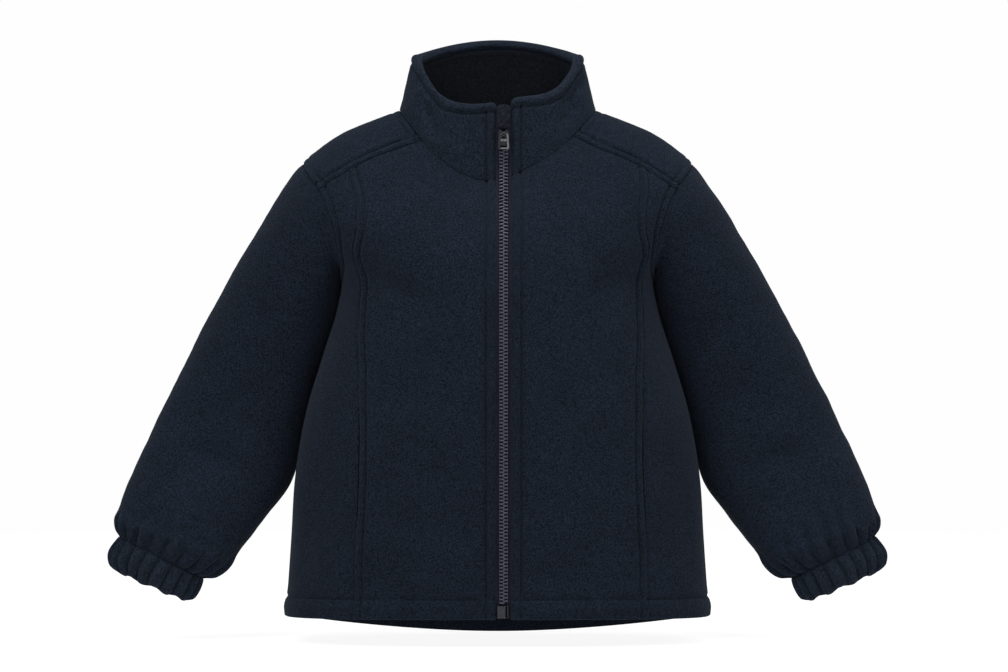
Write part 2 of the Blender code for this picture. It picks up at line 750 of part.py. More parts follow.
def front_panel(side, seams):
    """A centre front, from the zip to the princess seam."""
    neck = np.array([[angle, 1.0] for angle in neck_front_angles(seams["zip"][-1, 0])])
    top = np.concatenate([neck, seams["shoulder_inner"][1:]])
    bottom = np.linspace(seams["zip"][0], seams["princess"][0], len(top))
    places = patch(*(mirrored(edge, side) for edge in (seams["zip"], seams["princess"], bottom, top)))
    gape = pocket_opening(seams["princess"], side)
    outer, inner = panel_layers(places, ((LAST_COLUMN, gape), (LAST_ROW, HALF_GAP)))
    outer[:, 0, 0] = inner[:, 0, 0] = placket_x(side)
    return outer, inner


def side_front_panel(side, seams):
    """A side front, from the princess seam to the side seam and the armhole."""
    right = np.concatenate([seams["side"], seams["armhole_front"][1:]])
    top = seams["shoulder_outer"]
    bottom = np.linspace(seams["princess"][0], right[0], len(top))
    places = patch(*(mirrored(edge, side) for edge in (seams["princess"], right, bottom, top)))
    gape = pocket_opening(seams["princess"], side)
    edges = ((FIRST_COLUMN, gape), (LAST_COLUMN, HALF_GAP), (LAST_ROW, HALF_GAP))
    return panel_layers(places, edges)


def far(path):
    """A path on the left side, carried to the right one as angles past the centre back."""
    return np.column_stack([2 * math.pi - path[:, 0], path[:, 1]])


def line_across(near, opposite, rise, count):
    """A path over the back from a place on the left to one on the right, risen in between."""
    path = np.linspace(near, opposite, count)
    path[:, 1] += rise * np.clip(np.sin(np.linspace(0.0, math.pi, count)), 0.0, 1.0) ** 0.6
    return path


def back_blocks(left, right):
    """The back as three patches that share their edges: below the armholes, between them, and the yoke."""
    near_shoulder = np.concatenate([left["shoulder_inner"], left["shoulder_outer"][1:]])[::-1]
    far_shoulder = far(np.concatenate([right["shoulder_inner"], right["shoulder_outer"][1:]]))
    neck = np.array([[angle, 1.0] for angle in NECK_BACK_ANGLES])
    yoke_top = np.concatenate([near_shoulder, neck[1:-1], far_shoulder])
    count = len(yoke_top)
    near_hole = left["armhole_back"][::-1]
    far_hole = far(right["armhole_back"][::-1])
    turn = ARMHOLE_FLOOR_STEPS
    chest = line_across(near_hole[turn], far_hole[turn], CHEST_RISE, count)
    lower_top = np.concatenate([near_hole[:turn], chest, far_hole[:turn][::-1]])
    hem = np.linspace(left["side"][0], far(right["side"])[0], len(lower_top))
    shoulders = line_across(near_hole[-1], far_hole[-1], YOKE_RISE, count)
    return (
        flat_patch(left["side"], far(right["side"]), hem, lower_top),
        flat_patch(near_hole[turn:], far_hole[turn:], chest, shoulders),
        flat_patch(left["armhole_top"][::-1], far(right["armhole_top"][::-1]), shoulders, yoke_top),
    )


def joined_blocks(blocks):
    """One list of places for patches that share edges, and the cells between them."""
    places, numbers, cells = [], {}, []

    def number(place):
        key = tuple(np.round(place, 6))
        if key not in numbers:
            numbers[key] = len(places)
            places.append(place)
        return numbers[key]

    for block in blocks:
        grid = [[number(place) for place in row] for row in block]
        for low, high in zip(grid, grid[1:]):
            for here in range(len(low) - 1):
                cells.append((low[here], low[here + 1], high[here + 1], high[here]))
    return np.array(places), cells


def rim_drawn_in(surface, rim, amounts):
    """The points with each rim edge moved into its cell by its amount."""
    pulls = {}
    for (start, end, cell), amount in zip(rim, amounts):
        run = unit(surface[end] - surface[start])
        inward = surface[list(cell)].mean(axis=0) - surface[start]
        inward = unit(inward - np.dot(inward, run) * run)
        for corner in (start, end):
            pulls.setdefault(corner, []).append((inward, amount))
    moved = surface.copy()
    for corner, ((first, one), (second, two)) in pulls.items():
        turn = np.dot(first, second)
        if turn > 0.98:
            moved[corner] += 0.5 * (first * one + second * two)
        else:
            moved[corner] += ((one - two * turn) * first + (two - one * turn) * second) / (1 - turn * turn)
    return moved


def back_mesh(left, right, name):
    """The back, over the shoulders to both forward shoulder seams."""
    places, cells = joined_blocks(back_blocks(left, right))
    surface = body_at(places[:, 0], places[:, 1])
    normals = surface_normals(body_at, places[:, 0], places[:, 1])
    rim = rim_edges(cells)
    amounts = [0.0 if max(places[start, 1], places[end, 1]) == 0 else HALF_GAP for start, end, _ in rim]
    surface = rim_drawn_in(surface, rim, amounts)
    outer, inner = hem_layers(surface, normals, places[:, 1])
    return wall_mesh(outer, inner, name, cells)


def pocket_bag(side):
    """A shallow bag behind the pocket's opening, its rim turned to the fronts' inner side."""
    x_from = BAG_SEAM_X - BAG_INWARD
    x_to = BAG_SEAM_X + BAG_OUTWARD
    places = np.array(
        [
            [place_on_body(side * x + SEAM_SHIFT, z) for x in np.linspace(x_from, x_to, BAG_STEPS + 1)]
            for z in np.linspace(BAG_BOTTOM_Z, BAG_TOP_Z, BAG_STEPS + 1)
        ]
    )
    fullness = np.sin(np.linspace(0.0, math.pi, BAG_STEPS + 1)) ** BAG_FULLNESS
    depth = FLEECE + BAG_CLEARANCE + BAG_DEPTH * np.outer(fullness, fullness)[..., None]
    normals = surface_normals(body_at, places[..., 0], places[..., 1])
    surface = body_at(places[..., 0], places[..., 1])
    return surface - normals * depth, surface - normals * (depth + BAG_CLOTH)


# Sleeves and cuffs. A turn round them starts at the underarm and runs by the front to the top and back.

SLEEVE_CURVE = curve_through(SLEEVE_RINGS, range(len(SLEEVE_RINGS)))
CUFF_CURVE = curve_through(CUFF_RINGS, range(len(CUFF_RINGS)))


def arm_ring(columns, turn, inset=0.0):
    """A place on a sleeve's or cuff's ring, on the left side."""
    outer_x, outer_z, inner_x, inner_z, thickness, middle_y = np.moveaxis(columns, -1, 0)
    half = 0.5 * np.hypot(outer_x - inner_x, outer_z - inner_z)
    toward_x = (outer_x - inner_x) / (2 * half)
    toward_z = (outer_z - inner_z) / (2 * half)
    reach = roundness(turn, SLEEVE_SQUARE)
    outward = -np.cos(turn) * reach * (half - inset)
    forward = np.sin(turn) * reach * (thickness / 2 - inset)
    x = (outer_x + inner_x) / 2 + outward * toward_x
    z = (outer_z + inner_z) / 2 + outward * toward_z
    return np.stack([x, middle_y - forward, z], axis=-1)


def gather_wave(turn):
    """The gathers round a cuff, uneven in height, between -1 and 1."""
    uneven = 1 - GATHER_UNEVEN * (0.5 + 0.5 * np.sin(3 * turn + 1.1) * np.cos(7 * turn + 0.4))
    return -np.cos(GATHERS * turn) * uneven


def sleeve_at(row, turn, side, gathered=True):
    """The outer surface of a sleeve, without the part that joins it to its armhole, on the left side."""
    row, turn = np.broadcast_arrays(np.asarray(row, float), np.asarray(turn, float))
    place = arm_ring(SLEEVE_CURVE(row), turn)
    facing = np.tanh(3.0 * np.sin(turn))
    fold = fold_height(SLEEVE_FOLDS, place[..., 0] + 3.0 * side, place[..., 2], facing)
    place[..., 1] -= fold * np.sin(turn)
    if gathered:
        last = len(SLEEVE_RINGS) - 1
        near = smooth_step(row, last - GATHER_FADE, last - 0.2)
        size = GATHER_PUFF * near + (GATHER_AT_SEAM - GATHER_PUFF) * smooth_step(row, last - 0.6, last)
        outward = unit(place - arm_ring(SLEEVE_CURVE(row), turn, inset=8.0))
        place = place + outward * (size * gather_wave(turn))[..., None]
    return place


def loop_normals(rings):
    """Outward normals of rings of points that run as a turn does."""
    around = np.roll(rings, -1, axis=1) - np.roll(rings, 1, axis=1)
    along = np.gradient(rings, axis=0)
    return unit(np.cross(along, around))


def armhole_rim(side, seams):
    """The sleeve's edge at the armhole, its outer and inner points, and where each lies in a turn."""
    path = np.concatenate([seams["armhole_front"], seams["armhole_top"][1:], seams["armhole_back"][1:-1]])
    surface = flipped(body_at(side * path[:, 0], path[:, 1]), side)
    normals = flipped(surface_normals(body_at, side * path[:, 0], path[:, 1]), side)
    run = unit(np.roll(surface, -1, axis=0) - np.roll(surface, 1, axis=0))
    outward = unit(np.cross(run, normals))
    middle = surface.mean(axis=0)
    outward *= -np.sign(np.sum(outward * (surface - middle), axis=1, keepdims=True))
    outer = surface + outward * HALF_GAP
    inner = outer - normals * FLEECE
    first = SLEEVE_RINGS[0]
    toward = unit(np.array([first.outer_x - first.inner_x, first.outer_z - first.inner_z]))
    centre = np.array([first.outer_x + first.inner_x, first.outer_z + first.inner_z]) / 2
    half = np.hypot(first.outer_x - first.inner_x, first.outer_z - first.inner_z) / 2
    outward_share = ((surface[:, [0, 2]] - centre) @ toward) / half
    forward_share = (first.middle_y - surface[:, 1]) / (first.thickness / 2)
    turn = np.arctan2(forward_share, -outward_share) % (2 * math.pi)
    turn[0] = 0.0
    return outer, inner, turn


def bridge_rings(bm, first, first_turns, second, second_turns):
    """Triangles between two closed rings of unlike counts, each given with where its vertices lie."""
    a_count, b_count = len(first), len(second)
    a_here = b_here = 0
    while a_here < a_count or b_here < b_count:
        a_next = first_turns[a_here + 1] if a_here + 1 < a_count else 2 * math.pi
        b_next = second_turns[b_here + 1] if b_here + 1 < b_count else 2 * math.pi
        a_vert, b_vert = first[a_here % a_count], second[b_here % b_count]
        if b_here >= b_count or (a_here < a_count and a_next <= b_next):
            bm.faces.new((a_vert, first[(a_here + 1) % a_count], b_vert))
            a_here += 1
        else:
            bm.faces.new((a_vert, second[(b_here + 1) % b_count], b_vert))
            b_here += 1


def sleeve_layers(side, seams):
    """The rings of a sleeve on the left side: the upper ones as the rim's points, the lower ones finer."""
    rim_outer, rim_inner, turns = armhole_rim(side, seams)
    reach = arm_ring(SLEEVE_CURVE(0.0), turns)
    upper = [rim_outer]
    for row in UPPER_ROWS:
        fade = (1 - smooth_step(row, 0.0, RIM_FADE)) ** 1.5
        upper.append(sleeve_at(row, turns, side) + (rim_outer - reach) * fade)
    upper = np.array(upper)
    fine = np.linspace(0.0, 2 * math.pi, 4 * GATHERS, endpoint=False)
    rows = np.array(LOWER_ROWS)[:, None]
    plain = sleeve_at(rows, fine[None], side, gathered=False)
    lower = sleeve_at(rows, fine[None], side)
    end = cuff_at(0.0, fine) + cuff_lift()
    end_inner = cuff_at(0.0, fine, inset=FLEECE, gathered=False) + cuff_lift()
    before = sleeve_at(UPPER_ROWS[-1], fine, side, gathered=False)
    plain_end = cuff_at(0.0, fine, gathered=False) + cuff_lift()
    lower_normals = loop_normals(np.concatenate([before[None], plain, plain_end[None]]))[1:-1]
    after = sleeve_at(LOWER_ROWS[0], turns, side, gathered=False)
    upper_normals = loop_normals(np.concatenate([upper, after[None]]))[:-1]
    upper_inner = upper - upper_normals * FLEECE
    upper_inner[0] = rim_inner
    lower_inner = plain - lower_normals * FLEECE
    lower = np.concatenate([lower, end[None]])
    lower_inner = np.concatenate([lower_inner, end_inner[None]])
    return upper, upper_inner, turns, lower, lower_inner, fine


def cuff_at(row, turn, inset=0.0, gathered=True):
    """A place on a cuff, on the left side."""
    row, turn = np.broadcast_arrays(np.asarray(row, float), np.asarray(turn, float))
    columns = CUFF_CURVE(row)
    place = arm_ring(columns, turn, inset)
    if gathered:
        rise = np.sin(np.clip(row / (len(CUFF_RINGS) - 1), 0.0, 1.0) * math.pi)
        size = GATHER_AT_SEAM + (GATHER_AT_MIDDLE - GATHER_AT_SEAM) * rise
        outward = unit(place - arm_ring(columns, turn, inset + 8.0))
        place = place + outward * (size * gather_wave(turn))[..., None]
    return place


def cuff_lift():
    """The step from the cuff's seam back up the sleeve that leaves the seam's gap."""
    first, second = CUFF_RINGS[0], CUFF_RINGS[-1]
    down = np.array(
        [
            second.outer_x + second.inner_x - first.outer_x - first.inner_x,
            0.0,
            second.outer_z + second.inner_z - first.outer_z - first.inner_z,
        ]
    )
    return -unit(down) * SEAM_GAP


def flipped(points, side):
    return points * [side, 1.0, 1.0]


def sleeve_mesh(side, seams, name):
    upper, upper_inner, turns, lower, lower_inner, fine = sleeve_layers(side, seams)
    bm = bmesh.new()
    ends = []
    for upper_rings, lower_rings in ((upper, lower), (upper_inner, lower_inner)):
        coarse = add_grid(bm, flipped(upper_rings, side))
        closer = add_grid(bm, flipped(lower_rings, side))
        for rings in (coarse, closer):
            for first, second in zip(rings, rings[1:]):
                fill_between(bm, first + first[:1], second + second[:1])
        bridge_rings(bm, coarse[-1], turns, closer[0], fine)
        ends.append((coarse[0] + coarse[0][:1], closer[-1] + closer[-1][:1]))
    fill_between(bm, ends[0][0], ends[1][0])
    fill_between(bm, ends[0][1], ends[1][1])
    return mesh_from(bm, name)


def cuff_mesh(side, name):
    """A gathered cuff: its outer wall, its mouth, its plain inner wall and its seam."""
    fine = np.linspace(0.0, 2 * math.pi, 4 * GATHERS, endpoint=False)
    outer = [cuff_at(row, fine) for row in (0.0, 1.0, 2.0, 3.0)]
    inner = [cuff_at(row, fine, inset=CUFF_WALL, gathered=False) for row in (2.8, 0.0)]
    sections = np.array(outer + inner)
    bm = bmesh.new()
    rings = [ring + ring[:1] for ring in add_grid(bm, flipped(sections, side))]
    for first, second in zip(rings, rings[1:] + rings[:1]):
        fill_between(bm, first, second)
    return mesh_from(bm, name)


def tab_layers(side, tab):
    """A tab that lies on the sleeve, made from the sleeve's points moved out."""

    def plain_sleeve(row, turn):
        return sleeve_at(row, turn, side, gathered=False)

    rows = tab.row + np.linspace(-0.5, 0.5, 4)[:, None] * tab.length / SLEEVE_ROW_LENGTH
    turns = tab.turn + np.linspace(-0.5, 0.5, 5)[None] * tab.width / SLEEVE_RADIUS
    rows, turns = np.broadcast_arrays(rows, turns)
    surface = sleeve_at(rows, turns, side)
    normals = surface_normals(plain_sleeve, rows, turns)
    outer = surface + normals * (TAB_LIFT + TAB_CLOTH)
    return flipped(outer, side), flipped(surface + normals * TAB_LIFT, side)


# The collar.

COLLAR_CURVE = curve_through(COLLAR_RINGS, np.linspace(0.0, 1.0, len(COLLAR_RINGS)))


def collar_dip(columns, angle, share):
    """How far the front of the collar dips between the zip and the sides, more toward its rim."""
    side_z, front_z = columns[2], columns[4]
    beside = np.abs(np.sin(angle))
    dip = (side_z - front_z) * (beside ** (2.0 + COLLAR_DIP * share) - beside**2)
    return np.where(np.cos(angle) > 0, dip, 0.0)


def collar_at(angle, share):
    """The collar's outer surface at an angle and a share of its height."""
    angle, share = np.broadcast_arrays(np.asarray(angle, float), np.asarray(share, float))
    columns = np.moveaxis(COLLAR_CURVE(share), -1, 0)
    x, y, z = ring_place(columns, angle, 2.0 + 0.15 * share)
    z = z + collar_dip(columns, angle, share)
    fold = fold_height(COLLAR_FOLDS, x, z, np.tanh(3.0 * np.cos(angle)))
    z = z + front_skew(x, angle, 1.0)
    return np.stack([x + fold * np.sin(angle), y - fold * np.cos(angle), z], axis=-1)


def collar_edge_angle(side, share):
    """The angle at which the collar, at a share of its height, reaches its edge beside the zip."""
    low, high = -0.6, 0.6
    x = placket_x(side)
    for _ in range(40):
        middle = 0.5 * (low + high)
        if collar_at(middle, share)[0] < x:
            low = middle
        else:
            high = middle
    return 0.5 * (low + high)


def collar_sections():
    """The collar's closed sections, each up the outer layer, over the roll and down the inner layer."""
    levels = np.linspace(0.0, 1.0, COLLAR_LEVELS)
    starts = [collar_edge_angle(1, level) for level in levels]
    ends = [2 * math.pi + collar_edge_angle(-1, level) for level in levels]
    left = neck_front_angles(starts[0])
    right = 2 * math.pi - neck_front_angles(2 * math.pi - ends[0])[::-1]
    corners = (NECK_CORNER_ANGLE, 2 * math.pi - NECK_CORNER_ANGLE)
    sections = []
    for base_angle in np.concatenate([left, NECK_BACK_ANGLES[1:-1], right]):
        column = [
            np.interp(base_angle, (starts[0], *corners, ends[0]), (start, *corners, end))
            for start, end in zip(starts, ends)
        ]
        angle = float(np.interp(COLLAR_CORNER_LEVEL, levels, column))
        height = np.linalg.norm(collar_at(angle, 1.0) - collar_at(angle, 0.0))
        x = collar_at(angle, COLLAR_CORNER_LEVEL)[0]
        edge = abs(x - ZIP_X) - PLACKET_HALF_GAP if math.cos(angle) > 0 else COLLAR_CORNER
        short = min(max(0.0, COLLAR_CORNER - edge), COLLAR_CORNER)
        drop = COLLAR_CORNER - math.sqrt(COLLAR_CORNER**2 - short**2)
        top = 1 - (COLLAR_ROLL + COLLAR_CORNER_DROP * drop) / height
        places = [(share * top, 0.0) for share in (0.0, 0.25, 0.5, 0.75, 1.0)]
        for roll in (45.0, 90.0, 135.0):
            rise = COLLAR_ROLL * math.sin(math.radians(roll)) / height
            places.append((top + rise, COLLAR_ROLL * (1 - math.cos(math.radians(roll)))))
        places += [(share * top, COLLAR_WALL) for share in (1.0, 0.66, 0.33, 0.0)]
        shares = np.array([place[0] for place in places])
        depths = np.array([place[1] for place in places])[:, None]
        angles = np.interp(shares, levels, column)
        normals = surface_normals(collar_at, angles, np.clip(shares, 0.002, 0.998))
        normals[:, 2] *= np.clip(shares * 5, 0.0, 1.0)
        sections.append(collar_at(angles, shares) - unit(normals) * depths)
    sections = np.array(sections)
    sections[0, :, 0] = placket_x(1)
    sections[-1, :, 0] = placket_x(-1)
    return sections


# The zip.


def zip_line():
    """The cloth's surface down the middle of the zip, as points from the hem to the collar's top."""
    body = [body_at(angle_at_x(ZIP_X, height), height) for height in np.linspace(0.0, 0.96, 15)]
    middle_angle = 0.5 * (collar_edge_angle(1, 0.5) + collar_edge_angle(-1, 0.5))
    collar = [collar_at(middle_angle, share) for share in np.linspace(0.12, 1.0, 5)]
    points = np.array(body + collar)[:, 1:]
    return curve_through(points, points[:, 1])


ZIP_LINE = zip_line()


def zip_place(z):
    """The y of the cloth's surface at this z, and the directions up and out of it, in y and z."""
    step = 0.5
    here = ZIP_LINE(z)
    up = unit(ZIP_LINE(z + step) - ZIP_LINE(z - step))
    out = np.stack([-up[..., 1], up[..., 0]], axis=-1)
    return here, up, out


def zip_sections(outline, bottom_z, top_z):
    """Sections along the zip. The outline lists (across, depth below the cloth's surface)."""
    stations = np.linspace(TAPE_BOTTOM_Z, TAPE_TOP_Z, ZIP_ROWS + 1)
    between = [z for z in stations if bottom_z + 1.0 < z < top_z - 1.0]
    sections = []
    for z in [bottom_z] + between + [top_z]:
        here, _, out = zip_place(z)
        section = []
        for across, depth in outline:
            place = here - out * depth
            section.append((ZIP_X + across, place[0], place[1]))
        sections.append(section)
    return sections


def zip_tape_mesh(side, name):
    low, high = sorted((side * TAPE_INNER, side * TAPE_OUTER))
    outline = [(low, TAPE_FRONT), (high, TAPE_FRONT), (high, TAPE_BACK), (low, TAPE_BACK)]
    return tube_mesh(zip_sections(outline, TAPE_BOTTOM_Z, TAPE_TOP_Z), name)


def zip_chain_mesh(name):
    half, cut = CHAIN_HALF_WIDTH, CHAIN_CHAMFER
    outline = [
        (-half, CHAIN_BACK),
        (-half, CHAIN_FRONT + cut),
        (-half + cut, CHAIN_FRONT),
        (half - cut, CHAIN_FRONT),
        (half, CHAIN_FRONT + cut),
        (half, CHAIN_BACK),
    ]
    return tube_mesh(zip_sections(outline, CHAIN_BOTTOM_Z, CHAIN_TOP_Z), name)


def rounded_block(width, thickness, length, bevel, name):
    """A block with its edges rounded: width along X, thickness along Y and length along Z."""
    bm = bmesh.new()
    bmesh.ops.create_cube(bm, size=1.0)
    bmesh.ops.scale(bm, vec=(width * MM, thickness * MM, length * MM), verts=bm.verts)
    bmesh.ops.bevel(
        bm,
        geom=bm.edges[:],
        offset=bevel * MM,
        offset_type="OFFSET",
        segments=2,
        profile=0.5,
        affect="EDGES",
    )
    return mesh_from(bm, name)


def zip_matrix(across, z, depth):
    """A frame on the zip: X across, Z up the cloth and Y into it, at a depth below the surface."""
    here, up, out = zip_place(z)
    place = here - out * depth
    matrix = Matrix.Identity(4)
    matrix.col[0][:3] = (1.0, 0.0, 0.0)
    matrix.col[1][:3] = (0.0, -out[0], -out[1])
    matrix.col[2][:3] = (0.0, up[0], up[1])
    matrix.col[3][:3] = ((ZIP_X + across) * MM, place[0] * MM, place[1] * MM)
    return matrix


def zip_box_object(pieces):
    width = BOX_RIGHT - BOX_LEFT
    length = BOX_TOP_Z - BOX_BOTTOM_Z
    mesh = rounded_block(width, BOX_THICKNESS, length, BOX_ROUNDING, "zip_box")
    box = add_object("zip_box", mesh, "metal", pieces)
    middle_z = (BOX_TOP_Z + BOX_BOTTOM_Z) / 2
    depth = TAPE_FRONT - SEAM_GAP - BOX_THICKNESS / 2
    box.matrix_world = zip_matrix((BOX_LEFT + BOX_RIGHT) / 2, middle_z, depth)
    bm = bmesh.new()
    bmesh.ops.create_cone(
        bm,
        cap_ends=True,
        segments=12,
        radius1=PIN_RADIUS * MM,
        radius2=PIN_RADIUS * MM,
        depth=length * MM,
    )
    pin = add_object("zip_pin", mesh_from(bm, "zip_pin"), "metal", pieces)
    pin.matrix_world = zip_matrix(PIN_X, middle_z, TAPE_FRONT - SEAM_GAP - PIN_RADIUS)


def zip_garage_object(pieces):
    """The little fabric tube that the slider runs up to."""
    length = GARAGE_TOP_Z - GARAGE_BOTTOM_Z
    mesh = rounded_block(GARAGE_WIDTH, GARAGE_THICKNESS, length, GARAGE_ROUNDING, "zip_garage")
    garage = add_object("zip_garage", mesh, "fleece", pieces)
    middle_z = (GARAGE_TOP_Z + GARAGE_BOTTOM_Z) / 2
    garage.matrix_world = zip_matrix(0.0, middle_z, GARAGE_FRONT + GARAGE_THICKNESS / 2)


def slider_mesh():
    """The slider's body, wider at its top, and the bridge that the pull hangs from, in its own frame."""
    bm = bmesh.new()
    face = SLIDER_THICKNESS / 2
    corners = []
    half_length = SLIDER_LENGTH / 2
    for y in (-face, face):
        for x, z in (
            (-SLIDER_BOTTOM_WIDTH / 2, -half_length),
            (SLIDER_BOTTOM_WIDTH / 2, -half_length),
            (SLIDER_TOP_WIDTH / 2, half_length - SLIDER_SHOULDER),
            (SLIDER_TOP_WIDTH / 2 - SLIDER_CORNER, half_length),
            (0.0, half_length - SLIDER_NOTCH),
            (-SLIDER_TOP_WIDTH / 2 + SLIDER_CORNER, half_length),
            (-SLIDER_TOP_WIDTH / 2, half_length - SLIDER_SHOULDER),
        ):
            corners.append(bm.verts.new((x * MM, y * MM, z * MM)))
    count = len(corners) // 2
    front, rear = corners[:count], corners[count:]
    bm.faces.new(front)
    bm.faces.new(rear[::-1])
    for here in range(count):
        after = (here + 1) % count
        bm.faces.new((front[here], rear[here], rear[after], front[after]))
    bmesh.ops.recalc_face_normals(bm, faces=bm.faces)
    return mesh_from(bm, "slider_body", smooth_under=30.0)


def bridge_mesh():
    """A low arch on the slider's face, as a bent bar whose feet reach into the slider."""
    middle = (BRIDGE_TOP + BRIDGE_BOTTOM) / 2
    half = (BRIDGE_TOP - BRIDGE_BOTTOM) / 2
    wide = BRIDGE_WIDTH / 2
    face = -SLIDER_THICKNESS / 2
    sections = []
    for turn in np.linspace(0.0, math.pi, BRIDGE_STEPS + 1):
        rise = BRIDGE_RISE * math.sqrt(max(math.sin(turn), 0.0))
        foot = BRIDGE_FOOT if rise < BRIDGE_FOOT else 0.0
        z_out = middle + half * math.cos(turn)
        z_in = middle + (half - BRIDGE_BAR) * math.cos(turn)
        y_out = face - rise if foot == 0.0 else face + foot
        y_in = face - max(rise - BRIDGE_BAR, 0.0) if foot == 0.0 else face + foot
        section = [(-wide, y_out, z_out), (wide, y_out, z_out), (wide, y_in, z_in), (-wide, y_in, z_in)]
        sections.append(section)
    return tube_mesh(sections, "slider_bridge")


def boolean(target, other, operation):
    modifier = target.modifiers.new(operation.lower(), "BOOLEAN")
    modifier.operation = operation
    modifier.object = other
    modifier.solver = "EXACT"


def slider_object(pieces, helpers):
    slider = add_object("zip_slider", slider_mesh(), "metal", pieces)
    matrix = zip_matrix(0.0, SLIDER_Z, SLIDER_BACK - SLIDER_THICKNESS / 2)
    slider.matrix_world = matrix
    bridge = add_object("slider_bridge", bridge_mesh(), "metal", helpers)
    bridge.matrix_world = matrix
    bridge.hide_render = True
    bridge.display_type = "WIRE"
    boolean(slider, bridge, "UNION")
    return matrix


def pull_tab_object(pieces, slider_matrix):
    """The pull: an open frame, narrower at its top, with a crossbar and a round bar in the bridge."""
    axis_out = SLIDER_THICKNESS / 2 + HINGE_OUT

    def half_at(z):
        share = -z / PULL_LENGTH
        return PULL_TOP_HALF + (PULL_BOTTOM_HALF - PULL_TOP_HALF) * share

    # Levels down the frame, each with whether the middle is open below it.
    levels = (
        (0.0, True),
        (-PULL_CROSSBAR_FROM, False),
        (-PULL_CROSSBAR_TO, True),
        (-PULL_LENGTH + PULL_END_BAR, False),
        (-PULL_LENGTH, False),
    )
    bm = bmesh.new()
    half = PULL_THICKNESS / 2
    grid = []
    for z, _ in levels:
        wide = half_at(z)
        row = []
        for y in (-half, half):
            xs = (-wide, -wide + PULL_RAIL, wide - PULL_RAIL, wide)
            row.append([bm.verts.new((x * MM, y * MM, z * MM)) for x in xs])
        grid.append(row)
    for (front, rear), (low_front, low_rear), (_, open_below) in zip(grid, grid[1:], levels):
        cells = (0, 2) if open_below else (0, 1, 2)
        for cell in cells:
            bm.faces.new((front[cell], front[cell + 1], low_front[cell + 1], low_front[cell]))
            bm.faces.new((rear[cell + 1], rear[cell], low_rear[cell], low_rear[cell + 1]))
        bm.faces.new((front[0], low_front[0], low_rear[0], rear[0]))
        bm.faces.new((front[3], rear[3], low_rear[3], low_front[3]))
        if open_below:
            bm.faces.new((front[1], rear[1], low_rear[1], low_front[1]))
            bm.faces.new((front[2], low_front[2], low_rear[2], rear[2]))
    for row, cells in ((0, (0, 2)), (4, (0, 1, 2))):
        front, rear = grid[row]
        for cell in cells:
            bm.faces.new((front[cell], rear[cell], rear[cell + 1], front[cell + 1]))
    for row in (1, 2, 3):
        front, rear = grid[row]
        bm.faces.new((front[1], rear[1], rear[2], front[2]))
    frame = mesh_from(bm, "pull_tab", smooth_under=30.0)
    pull = add_object("pull_tab", frame, "metal", pieces)
    matrix = slider_matrix @ Matrix.Translation((0.0, -axis_out * MM, HINGE_UP * MM))
    pull.matrix_world = matrix
    return matrix


def hinge_bar(pull, matrix, helpers):
    """The round bar across the top of the pull, which turns under the bridge."""
    bm = bmesh.new()
    bmesh.ops.create_cone(
        bm,
        cap_ends=True,
        segments=12,
        radius1=HINGE_RADIUS * MM,
        radius2=HINGE_RADIUS * MM,
        depth=2 * (PULL_TOP_HALF - HINGE_BAR_INSET) * MM,
    )
    bmesh.ops.rotate(bm, verts=bm.verts, matrix=Matrix.Rotation(math.pi / 2, 3, "Y"))
    bar = add_object("pull_bar", mesh_from(bm, "pull_bar"), "metal", helpers)
    bar.matrix_world = matrix
    bar.hide_render = True
    bar.display_type = "WIRE"
    boolean(pull, bar, "UNION")


def main():
    pieces = start_collection()
    helpers = bpy.data.collections.new("helpers")
    bpy.context.scene.collection.children.link(helpers)
    seams = {name: body_seams(side) for name, side in SIDES.items()}
    for name, side in SIDES.items():
        panel = wall_mesh(*front_panel(side, seams[name]), "front_" + name)
        add_object("front_" + name, panel, "fleece", pieces)
        panel = wall_mesh(*side_front_panel(side, seams[name]), "side_front_" + name)
        add_object("side_front_" + name, panel, "fleece", pieces)
        bag = wall_mesh(*pocket_bag(side), "pocket_bag_" + name)
        add_object("pocket_bag_" + name, bag, "bag", pieces)
        sleeve = sleeve_mesh(side, seams[name], "sleeve_" + name)
        add_object("sleeve_" + name, sleeve, "fleece", pieces)
        add_object("cuff_" + name, cuff_mesh(side, "cuff_" + name), "fleece", pieces)
        tab = wall_mesh(*tab_layers(side, SLEEVE_TABS[name]), "sleeve_tab_" + name)
        add_object("sleeve_tab_" + name, tab, "tape", pieces)
        tape = zip_tape_mesh(side, "zip_tape_" + name)
        add_object("zip_tape_" + name, tape, "tape", pieces)
    add_object("back", back_mesh(seams["left"], seams["right"], "back"), "fleece", pieces)
    add_object("collar", tube_mesh(collar_sections(), "collar"), "fleece", pieces)
    add_object("zip_chain", zip_chain_mesh("zip_chain"), "teeth", pieces)
    zip_box_object(pieces)
    zip_garage_object(pieces)
    slider_matrix = slider_object(pieces, helpers)
    pull_matrix = pull_tab_object(pieces, slider_matrix)
    hinge_bar(bpy.data.objects["pull_tab"], pull_matrix, helpers)


main()
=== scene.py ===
"""The looks of a toddler's zip-up fleece jacket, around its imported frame.

Sizes are in millimetres and are turned into metres where a mesh is made. The cloth's form comes from the
same rings, folds and seams as the solids, sampled finely, with its relief set out along the normals:
rounded seams, topstitching, soft creases, gathers. Left and right are the wearer's: left is +X.
"""
import math
from collections import namedtuple

